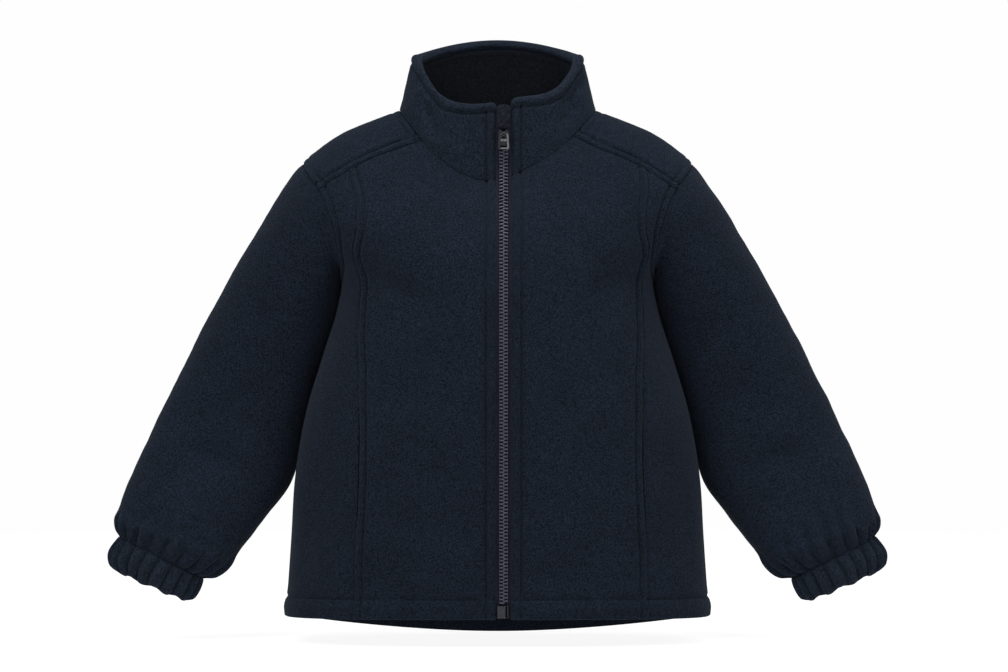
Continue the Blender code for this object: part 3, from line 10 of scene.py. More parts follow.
import bpy
import numpy as np
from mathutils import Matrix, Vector


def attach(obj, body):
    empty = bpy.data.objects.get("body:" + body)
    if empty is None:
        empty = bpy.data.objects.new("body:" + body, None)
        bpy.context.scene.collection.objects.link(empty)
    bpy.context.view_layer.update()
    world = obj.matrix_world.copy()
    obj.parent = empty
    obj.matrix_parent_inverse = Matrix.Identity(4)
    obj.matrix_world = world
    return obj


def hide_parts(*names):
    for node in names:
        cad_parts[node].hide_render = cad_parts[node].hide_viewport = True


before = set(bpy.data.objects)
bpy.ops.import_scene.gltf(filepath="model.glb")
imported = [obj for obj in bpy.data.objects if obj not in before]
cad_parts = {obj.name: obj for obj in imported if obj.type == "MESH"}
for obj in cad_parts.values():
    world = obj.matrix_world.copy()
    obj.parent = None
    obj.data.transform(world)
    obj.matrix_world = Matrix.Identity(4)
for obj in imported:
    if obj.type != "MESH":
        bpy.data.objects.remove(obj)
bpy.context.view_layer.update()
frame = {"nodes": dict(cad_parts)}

JACKET = "jacket"

MM = 0.001
SIDES = {"left": 1, "right": -1}

# Cloth and seams.
FLEECE = 2.6
SEAM_GAP = 0.04
HALF_GAP = SEAM_GAP / 2
HEM_EXTRA_OUT = 0.9
HEM_EXTRA_IN = 1.7
HEM_DEPTH = 16.0
HEM_STEP = 1.2
SHARP_ANGLE = math.radians(60.0)

# The fronts sit a little to the wearer's left of the middle of the outline, as the jacket was dressed.
ZIP_X = 4.8
SEAM_SHIFT = 2.8
PLACKET_HALF_GAP = 5.9
FRONT_SKEW = 4.0
SKEW_REACH = 18.0
SKEW_FROM = 0.72


def rows_of(kind, *rows):
    """Rows of numbers as a table of one kind."""
    return [kind(*row) for row in rows]


# The body, from the hem up. Where a ring isn't level, its front, side and back have their own heights.
BodyRing = namedtuple("BodyRing", "half_width side_y side_z front_y front_z back_y back_z square")
BODY_RINGS = rows_of(
    BodyRing,
    (165.8, -47, -393, -124, -391.4, 30, -411.4, 2.45),
    (164.4, -47, -376.5, -124.5, -375.2, 30.5, -394, 2.45),
    (161.2, -47, -331, -127, -331, 31.5, -347, 2.45),
    (158.4, -46.5, -286, -129.5, -287, 32.5, -297, 2.45),
    (148.6, -46, -230, -133, -232, 33.5, -237, 2.45),
    (136.6, -45.5, -190, -134.5, -194, 34, -193, 2.45),
    (124.6, -45, -150, -134.5, -160, 34, -152, 2.45),
    (121.7, -45, -130, -133.5, -143.5, 34, -129, 2.45),
    (137, -45, -92, -130.5, -124.5, 33, -101, 2.4),
    (150.5, -45, -60, -126, -108, 31, -79, 2.3),
    (152, -45, -40, -120.5, -94.5, 27.5, -61, 2.2),
    (140, -44.5, -28.4, -114.5, -84, 23, -45.5, 2.15),
    (122.5, -44, -16.4, -107.5, -74.5, 17, -30.5, 2.1),
    (100, -43, -6.5, -98, -64, 9, -15, 2.05),
    (77, -42, 2, -88, -53, 1, 0, 2),
)
UNDERARM_RING = 7
SHOULDER_POINT_RING = 10

# Soft folds in the body, seen square on: a trough is below the surface, a ridge above it.
Fold = namedtuple("Fold", "face x0 z0 x1 z1 rise width")
FOLD_RISE = (-0.25, 0.3)
FOLD_FALL = (0.7, 1.25)
FACE_TURN = 3.0


def folds(front=(), back=()):
    """Folds on the front and on the back, as one list."""
    return [Fold("front", *row) for row in front] + [Fold("back", *row) for row in back]


BODY_FOLDS = folds(
    front=(
        (-112, -118, -52, -158, -2.6, 15),
        (116, -116, 62, -160, -2.4, 15),
        (-78, -215, -26, -140, -2.2, 20),
        (84, -214, 34, -138, -2, 20),
        (-70, -345, -62, -235, 2, 26),
        (74, -350, 66, -240, 1.8, 26),
        (-137, -345, -133, -265, -1.8, 14),
        (138, -350, 134, -270, -1.8, 14),
    ),
    back=(
        (-108, -120, -38, -176, -2.6, 16),
        (110, -122, 44, -170, -2.4, 16),
        (-60, -372, -48, -240, -2.4, 20),
        (66, -376, 52, -250, -2.2, 20),
        (4, -380, 0, -270, 1.8, 24),
    ),
)

# Seams, seen square on. Those on the front are given for the left side and mirrored.
SeamPoint = namedtuple("SeamPoint", "x z")
PRINCESS_SEAM = rows_of(
    SeamPoint,
    (112.6, -378),
    (112.6, -350),
    (111, -318),
    (109.3, -285),
    (109, -245),
    (109, -205),
    (109.3, -165),
    (110, -125),
    (111.4, -88),
    (113.4, -64),
)
SHOULDER_SEAM_TO_PRINCESS = rows_of(SeamPoint, (80, -30), (97, -36.8))
PRINCESS_TOP = SeamPoint(115.2, -46.4)
SHOULDER_SEAM_TO_ARMHOLE = rows_of(SeamPoint, (123, -51.2), (130.5, -56.2))
SHOULDER_SEAM_END = SeamPoint(138.0, -62.0)
NECK_CORNER_ANGLE = math.radians(50.0)
ARMHOLE_FRONT = rows_of(
    SeamPoint,
    (122.6, -112),
    (124.6, -99),
    (128.4, -84),
    (133, -71.5),
)
ARMHOLE_TOP_FRONT = rows_of(SeamPoint, (144.6, -53.2), (150, -45.6))
ARMHOLE_BACK = rows_of(
    SeamPoint,
    (123.6, -113),
    (127.4, -97),
    (133, -81),
    (139.5, -67),
    (145.8, -55),
    (150.4, -46.4),
)

# Pockets in the princess seams: the opening's ends, and how far each edge stands back at its middle.
POCKET_TOP_Z = -227.0
POCKET_BOTTOM_Z = -322.0
POCKET_GAPE = 0.5
BAG_CLOTH = 1.2
BAG_CLEARANCE = 2.8
BAG_DEPTH = 3.0
BAG_INWARD = 58.0
BAG_OUTWARD = 9.0
BAG_TOP_Z = -219.0
BAG_BOTTOM_Z = -340.0
BAG_EDGE_X = 109.0
BAG_GUIDES = 7
BAG_ROWS = 46
BAG_COLUMNS = 28
BAG_FULLNESS = 0.8
BAG_UNEVEN = 0.25

# A sleeve, by its outer and inner outlines seen square on, its thickness and where its middle lies.
SleeveRing = namedtuple("SleeveRing", "outer_x outer_z inner_x inner_z thickness middle_y")
SLEEVE_RINGS = rows_of(
    SleeveRing,
    (152, -40, 121.7, -130, 86, -45),
    (159.4, -47.6, 124, -129.3, 85, -41.5),
    (176, -71, 125.1, -146, 84, -35.5),
    (198.4, -107.6, 130.4, -166.9, 82, -29),
    (225, -154.4, 140.5, -202, 76, -23.5),
    (249.2, -201.2, 151.5, -248.8, 71, -21.5),
    (269.5, -243.4, 162, -288.6, 66, -25.5),
    (283.5, -274.6, 179.4, -313.4, 63, -35),
    (292.6, -298, 194.6, -334, 59, -45.5),
    (296.6, -314, 207.1, -347.6, 54, -53),
    (296.2, -325.4, 221.1, -357, 46, -56.5),
)
SLEEVE_SQUARE = 2.15
SLEEVE_FOLD_SHIFT = 3.0
OUTWARD_INSET = 8.0
SLEEVE_LENGTH = 330.0
RIM_FADE = 3.0
RIM_FADE_POWER = 1.5
RIM_RELIEF_REACH = 6.0
RIM_POINTS = 240
CUFF_JOIN = 0.9
SLEEVE_FOLDS = folds(
    front=(
        (186, -152, 152, -196, -2.8, 12),
        (205, -215, 166, -232, -2.2, 12),
        (262, -290, 222, -262, -2.4, 13),
    ),
    back=(
        (190, -150, 150, -190, -3, 13),
        (226, -232, 178, -240, -2.6, 13),
        (255, -296, 216, -276, -2.4, 13),
    ),
)

# The gathered cuff, by its outer and inner outlines, from its seam to its mouth.
CUFF_RINGS = rows_of(
    SleeveRing,
    (293.7, -330.6, 229.7, -363.2, 37, -56.5),
    (300.6, -343, 234.4, -371.2, 38, -57),
    (300.6, -352.6, 239.6, -378.6, 35, -57.5),
    (297.6, -357.2, 243.6, -380.6, 31, -57.5),
)
CUFF_END = len(CUFF_RINGS) - 1
CUFF_WALL = 4.6
CUFF_INNER_END = 2.8
CUFF_INNER_ROWS = 12
GATHERS = 20

# The stand collar, from its seam up, with its two layers and its rolled top edge.
CollarRing = namedtuple("CollarRing", "half_width side_y side_z front_y front_z back_y back_z")
COLLAR_RINGS = rows_of(
    CollarRing,
    (77, -42, 2.3, -88, -52.7, 1, 0.3),
    (74.4, -42.5, 12, -88.6, -38, 0, 14),
    (71.4, -43.5, 24, -88.6, -22, -1.6, 31),
    (68.4, -44.5, 36, -88, -6, -3.4, 47),
    (65.8, -45.5, 46.6, -87, 8.2, -5.6, 60.4),
)
COLLAR_WALL = 7.0
COLLAR_ROLL = 3.5
COLLAR_DIP = 2.4
COLLAR_CORNER = 6.0
COLLAR_CORNER_DROP = 0.6
COLLAR_SQUARE = 2.0
COLLAR_SQUARE_MORE = 0.15
COLLAR_LENGTH = 400.0
COLLAR_HEIGHT = 60.0
COLLAR_LEVELS = np.linspace(0.0, 1.0, 9)
COLLAR_END_LEVEL = 0.9
COLLAR_INSIDE = (0.002, 0.998)
ROLL_TURNS = np.radians(np.linspace(0.0, 180.0, 12)[1:-1])
COLLAR_FOLDS = folds(
    front=(
        (-66, 26, -50, -14, -1.8, 6),
        (66, 26, 46, -8, -1.6, 6),
    ),
)

# How the collar's foot laps its seam, and how its rim is calmer and its cloth evener in places.
COLLAR_DROP = 0.25
COLLAR_LAP = 1.0
COLLAR_FOOT = 8.0
COLLAR_FOOT_SHARE = 0.2
COLLAR_EDGE = 0.12
COLLAR_EDGE_REACH = 0.6
COLLAR_FACE_TURN = 8.0
COLLAR_STITCH_ENDS = 8
SIDE_RIM = 0.35
SIDE_RIM_POWER = 8
LINING_UNEVEN = 0.6
# From this row of a collar section on, the inner layer's faces take a darker, greyer finish: painted
# shade inside the neck.
PAINTED_SHADE_FROM = 12
FAR_OFF = 99.0

# The zip, down the middle of the gap between the fronts. Depths are below the surface of the cloth.
TAPE_INNER = 0.6
TAPE_OUTER = 6.1
TAPE_FRONT = 1.6
TAPE_BACK = 2.4
TAPE_TOP_Z = 3.4
TAPE_BOTTOM_Z = -390.4
TAPE_ROWS = 260
ZIP_BODY_HEIGHTS = np.linspace(0.0, 0.96, 15)
ZIP_COLLAR_SHARES = np.linspace(0.12, 1.0, 5)
ZIP_STEP = 0.5
TAPE_ACROSS = (TAPE_INNER, 1.0, 1.5, 2.1, 3.2, 4.4, 5.2, TAPE_OUTER)
TAPE_BEAD = (0.0, 0.35, 0.5, 0.2, 0.0, 0.0, 0.0, 0.0)
CHAIN_FRONT = -1.0
CHAIN_BACK = 1.3
CHAIN_TOP_Z = -29.0
CHAIN_BOTTOM_Z = -379.6
GARAGE_WIDTH = 10.2
GARAGE_TOP_Z = 3.9
GARAGE_BOTTOM_Z = -14.6
GARAGE_THICKNESS = 3.4
GARAGE_FRONT = -2.1
GARAGE_CELLS = 22
GARAGE_BAR_UP = 4.0
GARAGE_BAR_DEPTH = 0.45
GARAGE_BAR_WIDTH = 0.8
GARAGE_SWELL = 0.35
GARAGE_WAVER = 0.05
GARAGE_WAVER_LENGTH = 3.1

# The small plain tabs in the sleeve seams: where round the sleeve, where along it, and their size.
Tab = namedtuple("Tab", "turn row length width")
SLEEVE_TABS = {
    "left": Tab(math.radians(32.0), 9.2, 11.0, 9.0),
    "right": Tab(math.radians(4.0), 9.2, 9.0, 9.0),
}
TAB_CLOTH = 1.2
TAB_LIFT = 0.5
TAB_ROWS = 14
TAB_COLUMNS = 12
TAB_EDGE = 0.45
TAB_BLUNTNESS = 0.25
SLEEVE_ROW_LENGTH = 13.8
SLEEVE_RADIUS = 45.0

# How finely the cloth is sampled: at a seam, by its stitching and in the open.
SEAM_STEP = 0.45
STITCH_STEP = 0.62
OPEN_STEP = 3.0
STEP_REACH = (0.0, 2.0, 3.5, 9.5, 22.0)
COLLAR_STEP_AROUND = 1.9
COLLAR_STEP_UP = 1.6
SPREAD_SAMPLES = 2001
LINE_POINTS = 160
RUN_POINTS = 120
PATH_POINTS = 200

# Searches on a surface: the first grid of guesses, how many steps follow and how long one may be.
GUESSES = 61
GUESS_REACH = 1.5
PLACE_STEPS = 12
PLACE_LIMIT = 0.15
NEAREST_STEPS = 30
NEAREST_LIMIT = 0.05
NEAREST_LOWEST = 2e-4
TINY = 1e-6
HALVINGS = 40
SLOPE_STEP = 1e-4
SMALL_STEP = 1e-3
WIDEST_ANGLE = 1.4

# The hem's lines run past the side seams, and its stitches start a little from the zip, by angle.
FRONT_HEM_END = 1.7
BACK_HEM_START = 1.4
HEM_STITCH_FROM = 0.04

# Relief of the cloth: how round its edges turn in, and the furrow and puffs beside a row of stitching.
SEAM_ROUND = 1.1
NECK_ROUND = 0.3
SEAM_STITCH = 6.2
ZIP_STITCH = 7.4
HEM_STITCH = 15.4
NECK_STITCH = 5.4
COLLAR_STITCH = 8.4
ZIP_ROUND = 1.4
HEM_ROUND = 1.6
CUFF_ROUND = 1.8
GAPE_REACH = 9.0
FURROW_DEPTH = 1.8
FURROW_WIDTH = 1.25
PUFF = 1.15
ZIP_PUFF = 1.5
HEM_PUFF = 1.0
NECK_PUFF = 0.4
RIM_PUFF = 1.3
OUTER_PUFF = 0.3
OUTER_PUFF_AT = 3.2
OUTER_PUFF_WIDTH = 2.4

# Where the cloth lies calmer: at the shoulder's and the neck's ends in the outline, and beside the arms.
TIP_X = 149.0
TIP_Z = -39.0
NECK_TIP_X = 78.0
TIP_REACH = 14.0
TIP_CALM = 0.85
BESIDE_ARM = 0.9
BESIDE_ARM_CALM = 0.6
CALM_SLEEVE_ROWS = (6.0, 8.0)

# Finer creases over the solids' own folds.
BODY_CREASES = folds(
    front=(
        (-100, -128, -58, -146, -1.1, 6),
        (-104, -142, -72, -168, -0.8, 7),
        (106, -126, 66, -147, -1, 6),
        (108, -143, 80, -172, -0.8, 7),
        (-95, -205, -40, -232, -0.7, 9),
        (40, -228, 92, -206, -0.7, 9),
        (-36, -300, -28, -350, 0.8, 10),
        (44, -292, 40, -345, 0.7, 10),
        (-90, -290, -84, -372, -0.9, 9),
        (92, -300, 88, -372, -0.8, 9),
        (-142, -300, -150, -370, -0.9, 7),
        (142, -300, 150, -366, -0.9, 7),
        (-50, -70, -40, -110, -0.5, 9),
        (60, -68, 50, -112, -0.5, 9),
    ),
    back=(
        (-96, -130, -50, -158, -1.2, 6),
        (-104, -146, -70, -184, -0.9, 7),
        (98, -130, 56, -154, -1.1, 6),
        (104, -148, 74, -180, -0.9, 7),
        (-86, -284, -70, -376, -1, 9),
        (90, -280, 76, -372, -0.9, 9),
        (-24, -308, -20, -384, -0.9, 10),
        (28, -318, 24, -386, -0.8, 10),
        (-40, -34, 42, -38, -0.7, 9),
        (-132, -300, -140, -372, -0.9, 8),
        (130, -296, 140, -370, -0.9, 8),
    ),
)
SLEEVE_CREASES = folds(
    front=(
        (166, -176, 148, -204, -1.4, 6),
        (196, -178, 160, -214, -1.1, 6.5),
        (222, -226, 178, -252, -1.2, 7),
        (240, -262, 196, -278, -1.1, 6.5),
        (214, -268, 186, -296, -1, 6),
        (282, -306, 250, -286, -1, 6),
        (150, -80, 172, -110, -0.8, 9),
    ),
    back=(
        (170, -170, 146, -200, -1.5, 6),
        (204, -196, 166, -224, -1.2, 7),
        (236, -252, 190, -262, -1.2, 6.5),
        (262, -284, 214, -288, -1, 6),
        (214, -150, 190, -176, -0.9, 8),
    ),
)
OWN_SLEEVE_CREASES = {
    1: folds(
        front=(
            (252, -308, 261, -342, -3.6, 4.4),
            (266, -310, 273, -336, -2.8, 3.4),
            (236, -318, 246, -342, -2.2, 3.6),
            (280, -306, 284, -330, -1.8, 3.4),
            (222, -330, 232, -350, -1.6, 3.2),
        ),
    ),
    -1: folds(
        front=(
            (268, -308, 262, -340, -4.6, 6),
            (251, -316, 252, -344, -2.4, 3.2),
            (282, -308, 277, -332, -2.4, 3.2),
            (236, -322, 240, -346, -1.8, 3.4),
            (222, -334, 228, -352, -1.4, 3.2),
        ),
    ),
}
COLLAR_CREASES = folds(
    front=(
        (-63, 30, -45, 3, -4, 3.8),
        (-58, 10, -46, -22, -2.8, 4.6),
        (68, 30, 54, 4, -3.6, 3.8),
        (62, 6, 49, -12, -2.4, 4.6),
        (30, 26, 38, 4, -0.7, 5),
        (-34, -8, -26, -30, -0.6, 5),
    ),
    back=(
        (-30, 52, -26, 16, -0.8, 5),
        (34, 50, 28, 14, -0.7, 5),
    ),
)
# The cloth's slight unevenness, as waves: the direction's x, y and z, the wavelength and the height.
Wave = namedtuple("Wave", "x y z length height")
UNEVENNESS = rows_of(
    Wave,
    (0.9, 0.1, 0.5, 61, 0.28),
    (-0.4, 0.6, 0.9, 47, 0.24),
    (0.7, -0.5, -0.6, 33, 0.16),
    (0.2, 0.9, 0.7, 26, 0.12),
    (-0.8, 0.3, 0.4, 17, 0.08),
    (0.3, -0.2, 1, 12.5, 0.07),
)

# The gathers: how high each ridge stands, how sharp the valleys are, and how they lean and fade.
GATHER_SIZES = (
    *(1.0, 0.62, 0.9, 0.74, 1.0, 0.55, 0.82, 1.0, 0.66, 0.88),
    *(0.7, 1.0, 0.58, 0.92, 0.76, 1.0, 0.6, 0.84, 0.96, 0.7),
)
GATHER_REACHES = (
    *(1.0, 0.5, 0.8, 0.35, 0.9, 0.6, 1.0, 0.45, 0.75, 0.95),
    *(0.4, 0.85, 0.55, 1.0, 0.5, 0.7, 0.9, 0.4, 0.8, 0.6),
)
GATHER_SHARPNESS = 0.85
GATHER_FADE = 1.9
GATHER_FULL = 0.15
GATHER_SWAY = ((0.5, 3, 0.6), (0.35, 5, 2.1))
GATHER_LEAN = 0.06
GATHER_SEAM_REACH = 0.5
SLEEVE_GATHER = 3.1
SEAM_GATHER = 1.2
CUFF_GATHER = 3.3
SLEEVE_OVERHANG = 3.4
OVERHANG_RISE = (-1.3, -0.55)
OVERHANG_FALL = (-0.35, 0.0)
OUTER_OVERHANG = 0.2
OUTER_ROUND = 0.3
SLEEVE_COLUMNS = 280
CUFF_COLUMNS = 360
SLEEVE_INNER = 3.6
SLEEVE_INNER_ROWS = (6.0, 8.5)
UNDERARM_FILL = 2.3
UNDERARM_RISE = (0.1, 0.7)
UNDERARM_FALL = (2.9, 4.2)
UNDERARM_GROOVE = 0.2
UNDERARM_GROOVE_WIDTH = 1.1
CUFF_ROWS = 34
CUFF_LEAN = 0.05
CUFF_LEAN_FROM = 0.4
CUFF_SWELL = 0.4
CUFF_FULLNESS = 0.7
CUFF_WAVY = 1.1
CUFF_WAVY_X = 0.4
CUFF_WAVY_ROWS = (1.5, 3.0)

# Stitches, which points of a seam's path they run along, and the tacks at the pockets' ends.
STITCH_LENGTH = 2.3
STITCH_PITCH = 2.9
STITCH_RADIUS = 0.2
STITCH_BEND = 0.5
STITCH_AHEAD = 0.4
STITCH_SIDES = 6
STITCH_OUTLINE = ((-1.0, 0.25), (-0.8, 0.9), (0.0, 1.0), (0.8, 0.9), (1.0, 0.25))
STITCH_RUNS = {
    "front": slice(4, -5),
    "arm_start": slice(6, None),
    "arm_end": slice(None, -6),
    "shoulder_start": slice(4, None),
    "shoulder_end": slice(None, -10),
    "neck": slice(4, -4),
}
TACK_ROWS = 6
TACK_PITCH = 0.36
TACK_POINTS = 9
TACK_X = 108.6
TACK_LENGTH = 6.4
TACK_PROUD = 0.25

# The metal pieces, which keep their solids: how soft their edges are, and how dark the pull's middle is
# painted, as painted shade between its rails.
METAL_EDGE = 0.18
METAL_SHARP_ANGLE = math.radians(35.0)
METAL_NODES = {
    "zip_slider": "slider",
    "pull_tab": "rails",
    "zip_box": "dull_metal",
    "zip_pin": "dull_metal",
}
PULL_RAIL_FROM = 2.6
PULL_MIDDLE_SHADE = 0.22

# The zip's teeth.
TOOTH_WAIST = 0.35
TOOTH_FOOT = 0.6
TOOTH_PITCH = 2.7
TOOTH_LENGTH = 1.75
TOOTH_REACH = 3.7
TOOTH_OVERLAP = 0.9
TOOTH_WAIST_AT = 0.2
TOOTH_WAIST_WIDTH = 0.7
TOOTH_FOOT_DEPTH = 0.75
TOOTH_FOOT_LENGTH = 0.62
TOOTH_FOOT_BACK = 0.1
TOOTH_FROM_END = (1.2, 0.8)
TOOTH_SQUARE = 4.0
BLOCK_SQUARE = 5.0

# Camera and stage.
CAMERA_PLACE = (0.0051, -3.05, -0.1747)
CAMERA_LENS = 137.0
SENSOR_WIDTH = 36.0
CAMERA_SIGHT = 30.0
FLOOR_Z = -0.4135
FLOOR_HALF = 6.0
BACKDROP_STRENGTH = 0.99
ROOM_STRENGTH = 0.33
FLOOR_COLOUR = (0.22, 0.22, 0.22)
FLOOR_GLOW = 0.90
FLOOR_FADE_FROM = 0.75
FLOOR_FADE_TO = 1.8
Light = namedtuple("Light", "name place aim width height power")
LIGHTS = (
    Light("key", (-1.1, -1.7, 1.5), (0.0, 0.0, -0.2), 1.3, 1.0, 32.0),
    Light("top", (0.1, -0.5, 1.8), (0.0, 0.0, -0.2), 1.8, 1.2, 44.0),
    Light("fill", (1.4, -1.6, 1.1), (0.0, 0.0, -0.2), 1.2, 1.0, 20.0),
    Light("low", (-0.2, -2.4, -0.1), (0.0, 0.0, -0.34), 1.6, 0.5, 11.0),
)

# Lint: how densely it may lie, how large a speck is, what share of places have one, and its colour.
SHEEN = 0.04
LINT_SCALE = 55.0
LINT_SIZE = 0.022
LINT_SHARE = 0.05
LINT_COLOUR = (0.30, 0.31, 0.33)


# Curves and rings.
def curve_through(rows, stations):
    """A smooth curve through rows of numbers, one row at each station."""
    values = np.array(rows, float)
    stops = np.array(stations, float)
    slopes = np.gradient(values, stops, axis=0)

    def at(where):
        where = np.clip(np.asarray(where, float), stops[0], stops[-1])
        index = np.clip(np.searchsorted(stops, where, side="right") - 1, 0, len(stops) - 2)
        span = (stops[index + 1] - stops[index])[..., None]
        t = (where - stops[index])[..., None] / span
        start = (1 + 2 * t) * (1 - t) ** 2 * values[index] + t * (1 - t) ** 2 * span * slopes[index]
        end = t * t * (3 - 2 * t) * values[index + 1] + t * t * (t - 1) * span * slopes[index + 1]
        return start + end

    return at


def path_lengths(points):
    """How far along a path each of its points lies."""
    steps = np.linalg.norm(np.diff(np.array(points, float), axis=0), axis=1)
    return np.concatenate([[0.0], np.cumsum(steps)])


def unit(vectors):
    return vectors / np.maximum(np.linalg.norm(vectors, axis=-1, keepdims=True), 1e-12)


def roundness(angle, square):
    """How far a squared circle reaches at this angle."""
    reach = np.abs(np.cos(angle)) ** square + np.abs(np.sin(angle)) ** square
    return reach ** (-1.0 / square)


def smooth_step(value, low, high):
    t = np.clip((value - low) / (high - low), 0.0, 1.0)
    return t * t * (3 - 2 * t)


def bell(value, width):
    """1 where the value is 0, fading away over a width on both sides."""
    return np.exp(-((value / width) ** 2))


def rise_and_fall(value, rise, fall):
    """Up from 0 to 1 over one pair of values and down again over the other."""
    return smooth_step(value, *rise) * (1 - smooth_step(value, *fall))


def facing(forward, turn=FACE_TURN):
    """1 on the front and -1 on the back, turning over between them."""
    return np.tanh(turn * forward)


def fold_height(folds, x, z, front):
    """The sum of the folds at these places. front is 1 on the front, -1 on the back and fades between."""
    total = np.zeros_like(x)
    for fold in folds:
        along = np.array([fold.x1 - fold.x0, fold.z1 - fold.z0])
        length = np.hypot(*along)
        along = along / length
        run = ((x - fold.x0) * along[0] + (z - fold.z0) * along[1]) / length
        beside = (z - fold.z0) * along[0] - (x - fold.x0) * along[1]
        ends = rise_and_fall(run, FOLD_RISE, FOLD_FALL)
        faces = front if fold.face == "front" else -front
        total += fold.rise * ends * bell(beside, fold.width) * np.clip(faces, 0.0, 1.0)
    return total


# The body surface.
def body_stations():
    side = [(ring.half_width, ring.side_z) for ring in BODY_RINGS]
    front = [(ring.front_y, ring.front_z) for ring in BODY_RINGS]
    lengths = path_lengths(side) + path_lengths(front)
    return lengths / lengths[-1]


BODY_STATIONS = body_stations()
BODY_CURVE = curve_through(BODY_RINGS, BODY_STATIONS)
UNDERARM = BODY_STATIONS[UNDERARM_RING]
SHOULDER_POINT = BODY_STATIONS[SHOULDER_POINT_RING]


def ring_place(columns, angle, square):
    """The place at an angle on a ring with its own front, side and back: x, y and z."""
    half_width, side_y, side_z, front_y, front_z, back_y, back_z = columns
    forward = np.cos(angle)
    reach = roundness(angle, square)
    depth = np.where(forward > 0, front_y - side_y, side_y - back_y)
    end_z = np.where(forward > 0, front_z, back_z)
    x = half_width * reach * np.sin(angle)
    y = side_y + depth * reach * forward
    z = side_z + (end_z - side_z) * np.abs(forward) ** 2
    return x, y, z


def front_skew(x, angle, amount):
    """The left front sits a little higher than the right one at the neck."""
    forward = np.clip(np.cos(angle), 0.0, 1.0)
    return FRONT_SKEW * np.tanh((x - ZIP_X) / SKEW_REACH) * forward**2 * amount


def both_layers(outer, inner, side=1):
    """The points of a wall's two layers in one list, set on one side."""
    return np.concatenate([outer.reshape(-1, 3), inner.reshape(-1, 3)]) * [side, 1.0, 1.0]


def body_at(angle, height):
    """The outer surface of the body at an angle and a height, in millimetres."""
    angle, height = np.broadcast_arrays(np.asarray(angle, float), np.asarray(height, float))
    columns = np.moveaxis(BODY_CURVE(height), -1, 0)
    x, y, z = ring_place(columns[:7], angle, columns[7])
    fold = fold_height(BODY_FOLDS, x, z, facing(np.cos(angle)))
    z = z + front_skew(x, angle, smooth_step(height, SKEW_FROM, 1.0))
    return np.stack([x + fold * np.sin(angle), y - fold * np.cos(angle), z], axis=-1)


def surface_normals(surface, first, second, step=SMALL_STEP):
    """The outward normals of a surface of two numbers."""
    across = surface(first + step, second) - surface(first - step, second)
    up = surface(first, second + step) - surface(first, second - step)
    return unit(np.cross(across, up))


def place_on_body(x, z, face="front"):
    """The angle and height where the front or the back, seen square on, passes through x and z."""
    middle = 0.0 if face == "front" else math.pi
    around = np.linspace(-GUESS_REACH, GUESS_REACH, GUESSES) + middle
    angles, heights = np.meshgrid(around, np.linspace(0.0, 1.0, GUESSES), indexing="ij")
    grid = body_at(angles, heights)
    nearest = np.argmin((grid[..., 0] - x) ** 2 + (grid[..., 2] - z) ** 2)
    place = np.array([angles.flat[nearest], heights.flat[nearest]])
    for _ in range(PLACE_STEPS):
        here = body_at(*place)[[0, 2]]
        by_angle = (body_at(place[0] + SLOPE_STEP, place[1])[[0, 2]] - here) / SLOPE_STEP
        by_height = (body_at(place[0], place[1] - SLOPE_STEP)[[0, 2]] - here) / -SLOPE_STEP
        slopes = np.stack([by_angle, by_height], axis=1)
        change = np.linalg.lstsq(slopes, np.array([x, z]) - here, rcond=None)[0]
        place = place + np.clip(change, -PLACE_LIMIT, PLACE_LIMIT)
        place[1] = min(max(place[1], 0.0), 1.0)
    return place


def angle_where(x_at, x, reach):
    """The angles between -reach and reach at which a surface's x reaches this one."""
    low, high = -reach, reach
    for _ in range(HALVINGS):
        middle = 0.5 * (low + high)
        under = x_at(middle) < x
        low, high = np.where(under, middle, low), np.where(under, high, middle)
    return 0.5 * (low + high)


def angle_at_x(x, heights):
    """The angles on the front at which the body at these heights reaches x."""
    return angle_where(lambda angle: body_at(angle, heights)[..., 0], x, WIDEST_ANGLE)


def body_height_above_hem(distance):
    """The height that lies this far above the hem, along the front."""
    front = path_lengths([(ring.front_y, ring.front_z) for ring in BODY_RINGS])
    return float(np.interp(distance, front, BODY_STATIONS))


def skin(places):
    """The body's surface at these places, and its outward normals."""
    angles, heights = places[..., 0], places[..., 1]
    return body_at(angles, heights), surface_normals(body_at, angles, heights)


# Seams, as curves of (angle, height) by a share from 0 to 1. The left side's angles serve both sides.
ARMHOLE_FLOOR_SHARE = 4 / 12
ARMHOLE_SCALE = np.array([1.0, 4.0])
YOKE_RISE = 0.09
CHEST_RISE = 0.01
RISE_POWER = 0.6
HEM_TOP = body_height_above_hem(HEM_DEPTH)
HEM_SHOULDER = body_height_above_hem(HEM_DEPTH + HEM_STEP)


def seen_point(point, side, face="front", shift=0.0):
    """The (angle, height) of a seam's point on one side. On the back, the angle is past 90 degrees."""
    place = place_on_body(side * point.x + shift, point.z, face)
    return np.array([side * place[0] if face == "front" else place[0], place[1]])


def placket_x(side):
    return ZIP_X + side * PLACKET_HALF_GAP


def part_of(curve, start, end):
    return lambda share: curve(start + np.asarray(share, float) * (end - start))


def shoulder_seams(side):
    """From the neck to the princess seam, and from there to the armhole."""
    first = [seen_point(point, side) for point in SHOULDER_SEAM_TO_PRINCESS]
    second = [seen_point(point, side) for point in SHOULDER_SEAM_TO_ARMHOLE]
    ends = [seen_point(point, side) for point in (PRINCESS_TOP, SHOULDER_SEAM_END)]
    whole = np.array([[NECK_CORNER_ANGLE, 1.0]] + first + ends[:1] + second + ends[1:])
    lengths = path_lengths(whole)
    curve = curve_through(whole, lengths)
    split = lengths[1 + len(first)]
    return part_of(curve, 0.0, split), part_of(curve, split, lengths[-1])


def princess_seam(side, meeting):
    """From the hem to the shoulder seam."""
    points = [seen_point(point, side, shift=SEAM_SHIFT) for point in PRINCESS_SEAM]
    whole = np.array([[points[0][0], 0.0]] + points + [meeting])
    curve = curve_through(whole, whole[:, 1])

    def at(share):
        heights = np.asarray(share, float) * meeting[1]
        return np.column_stack([curve(heights)[:, 0], heights])

    return at


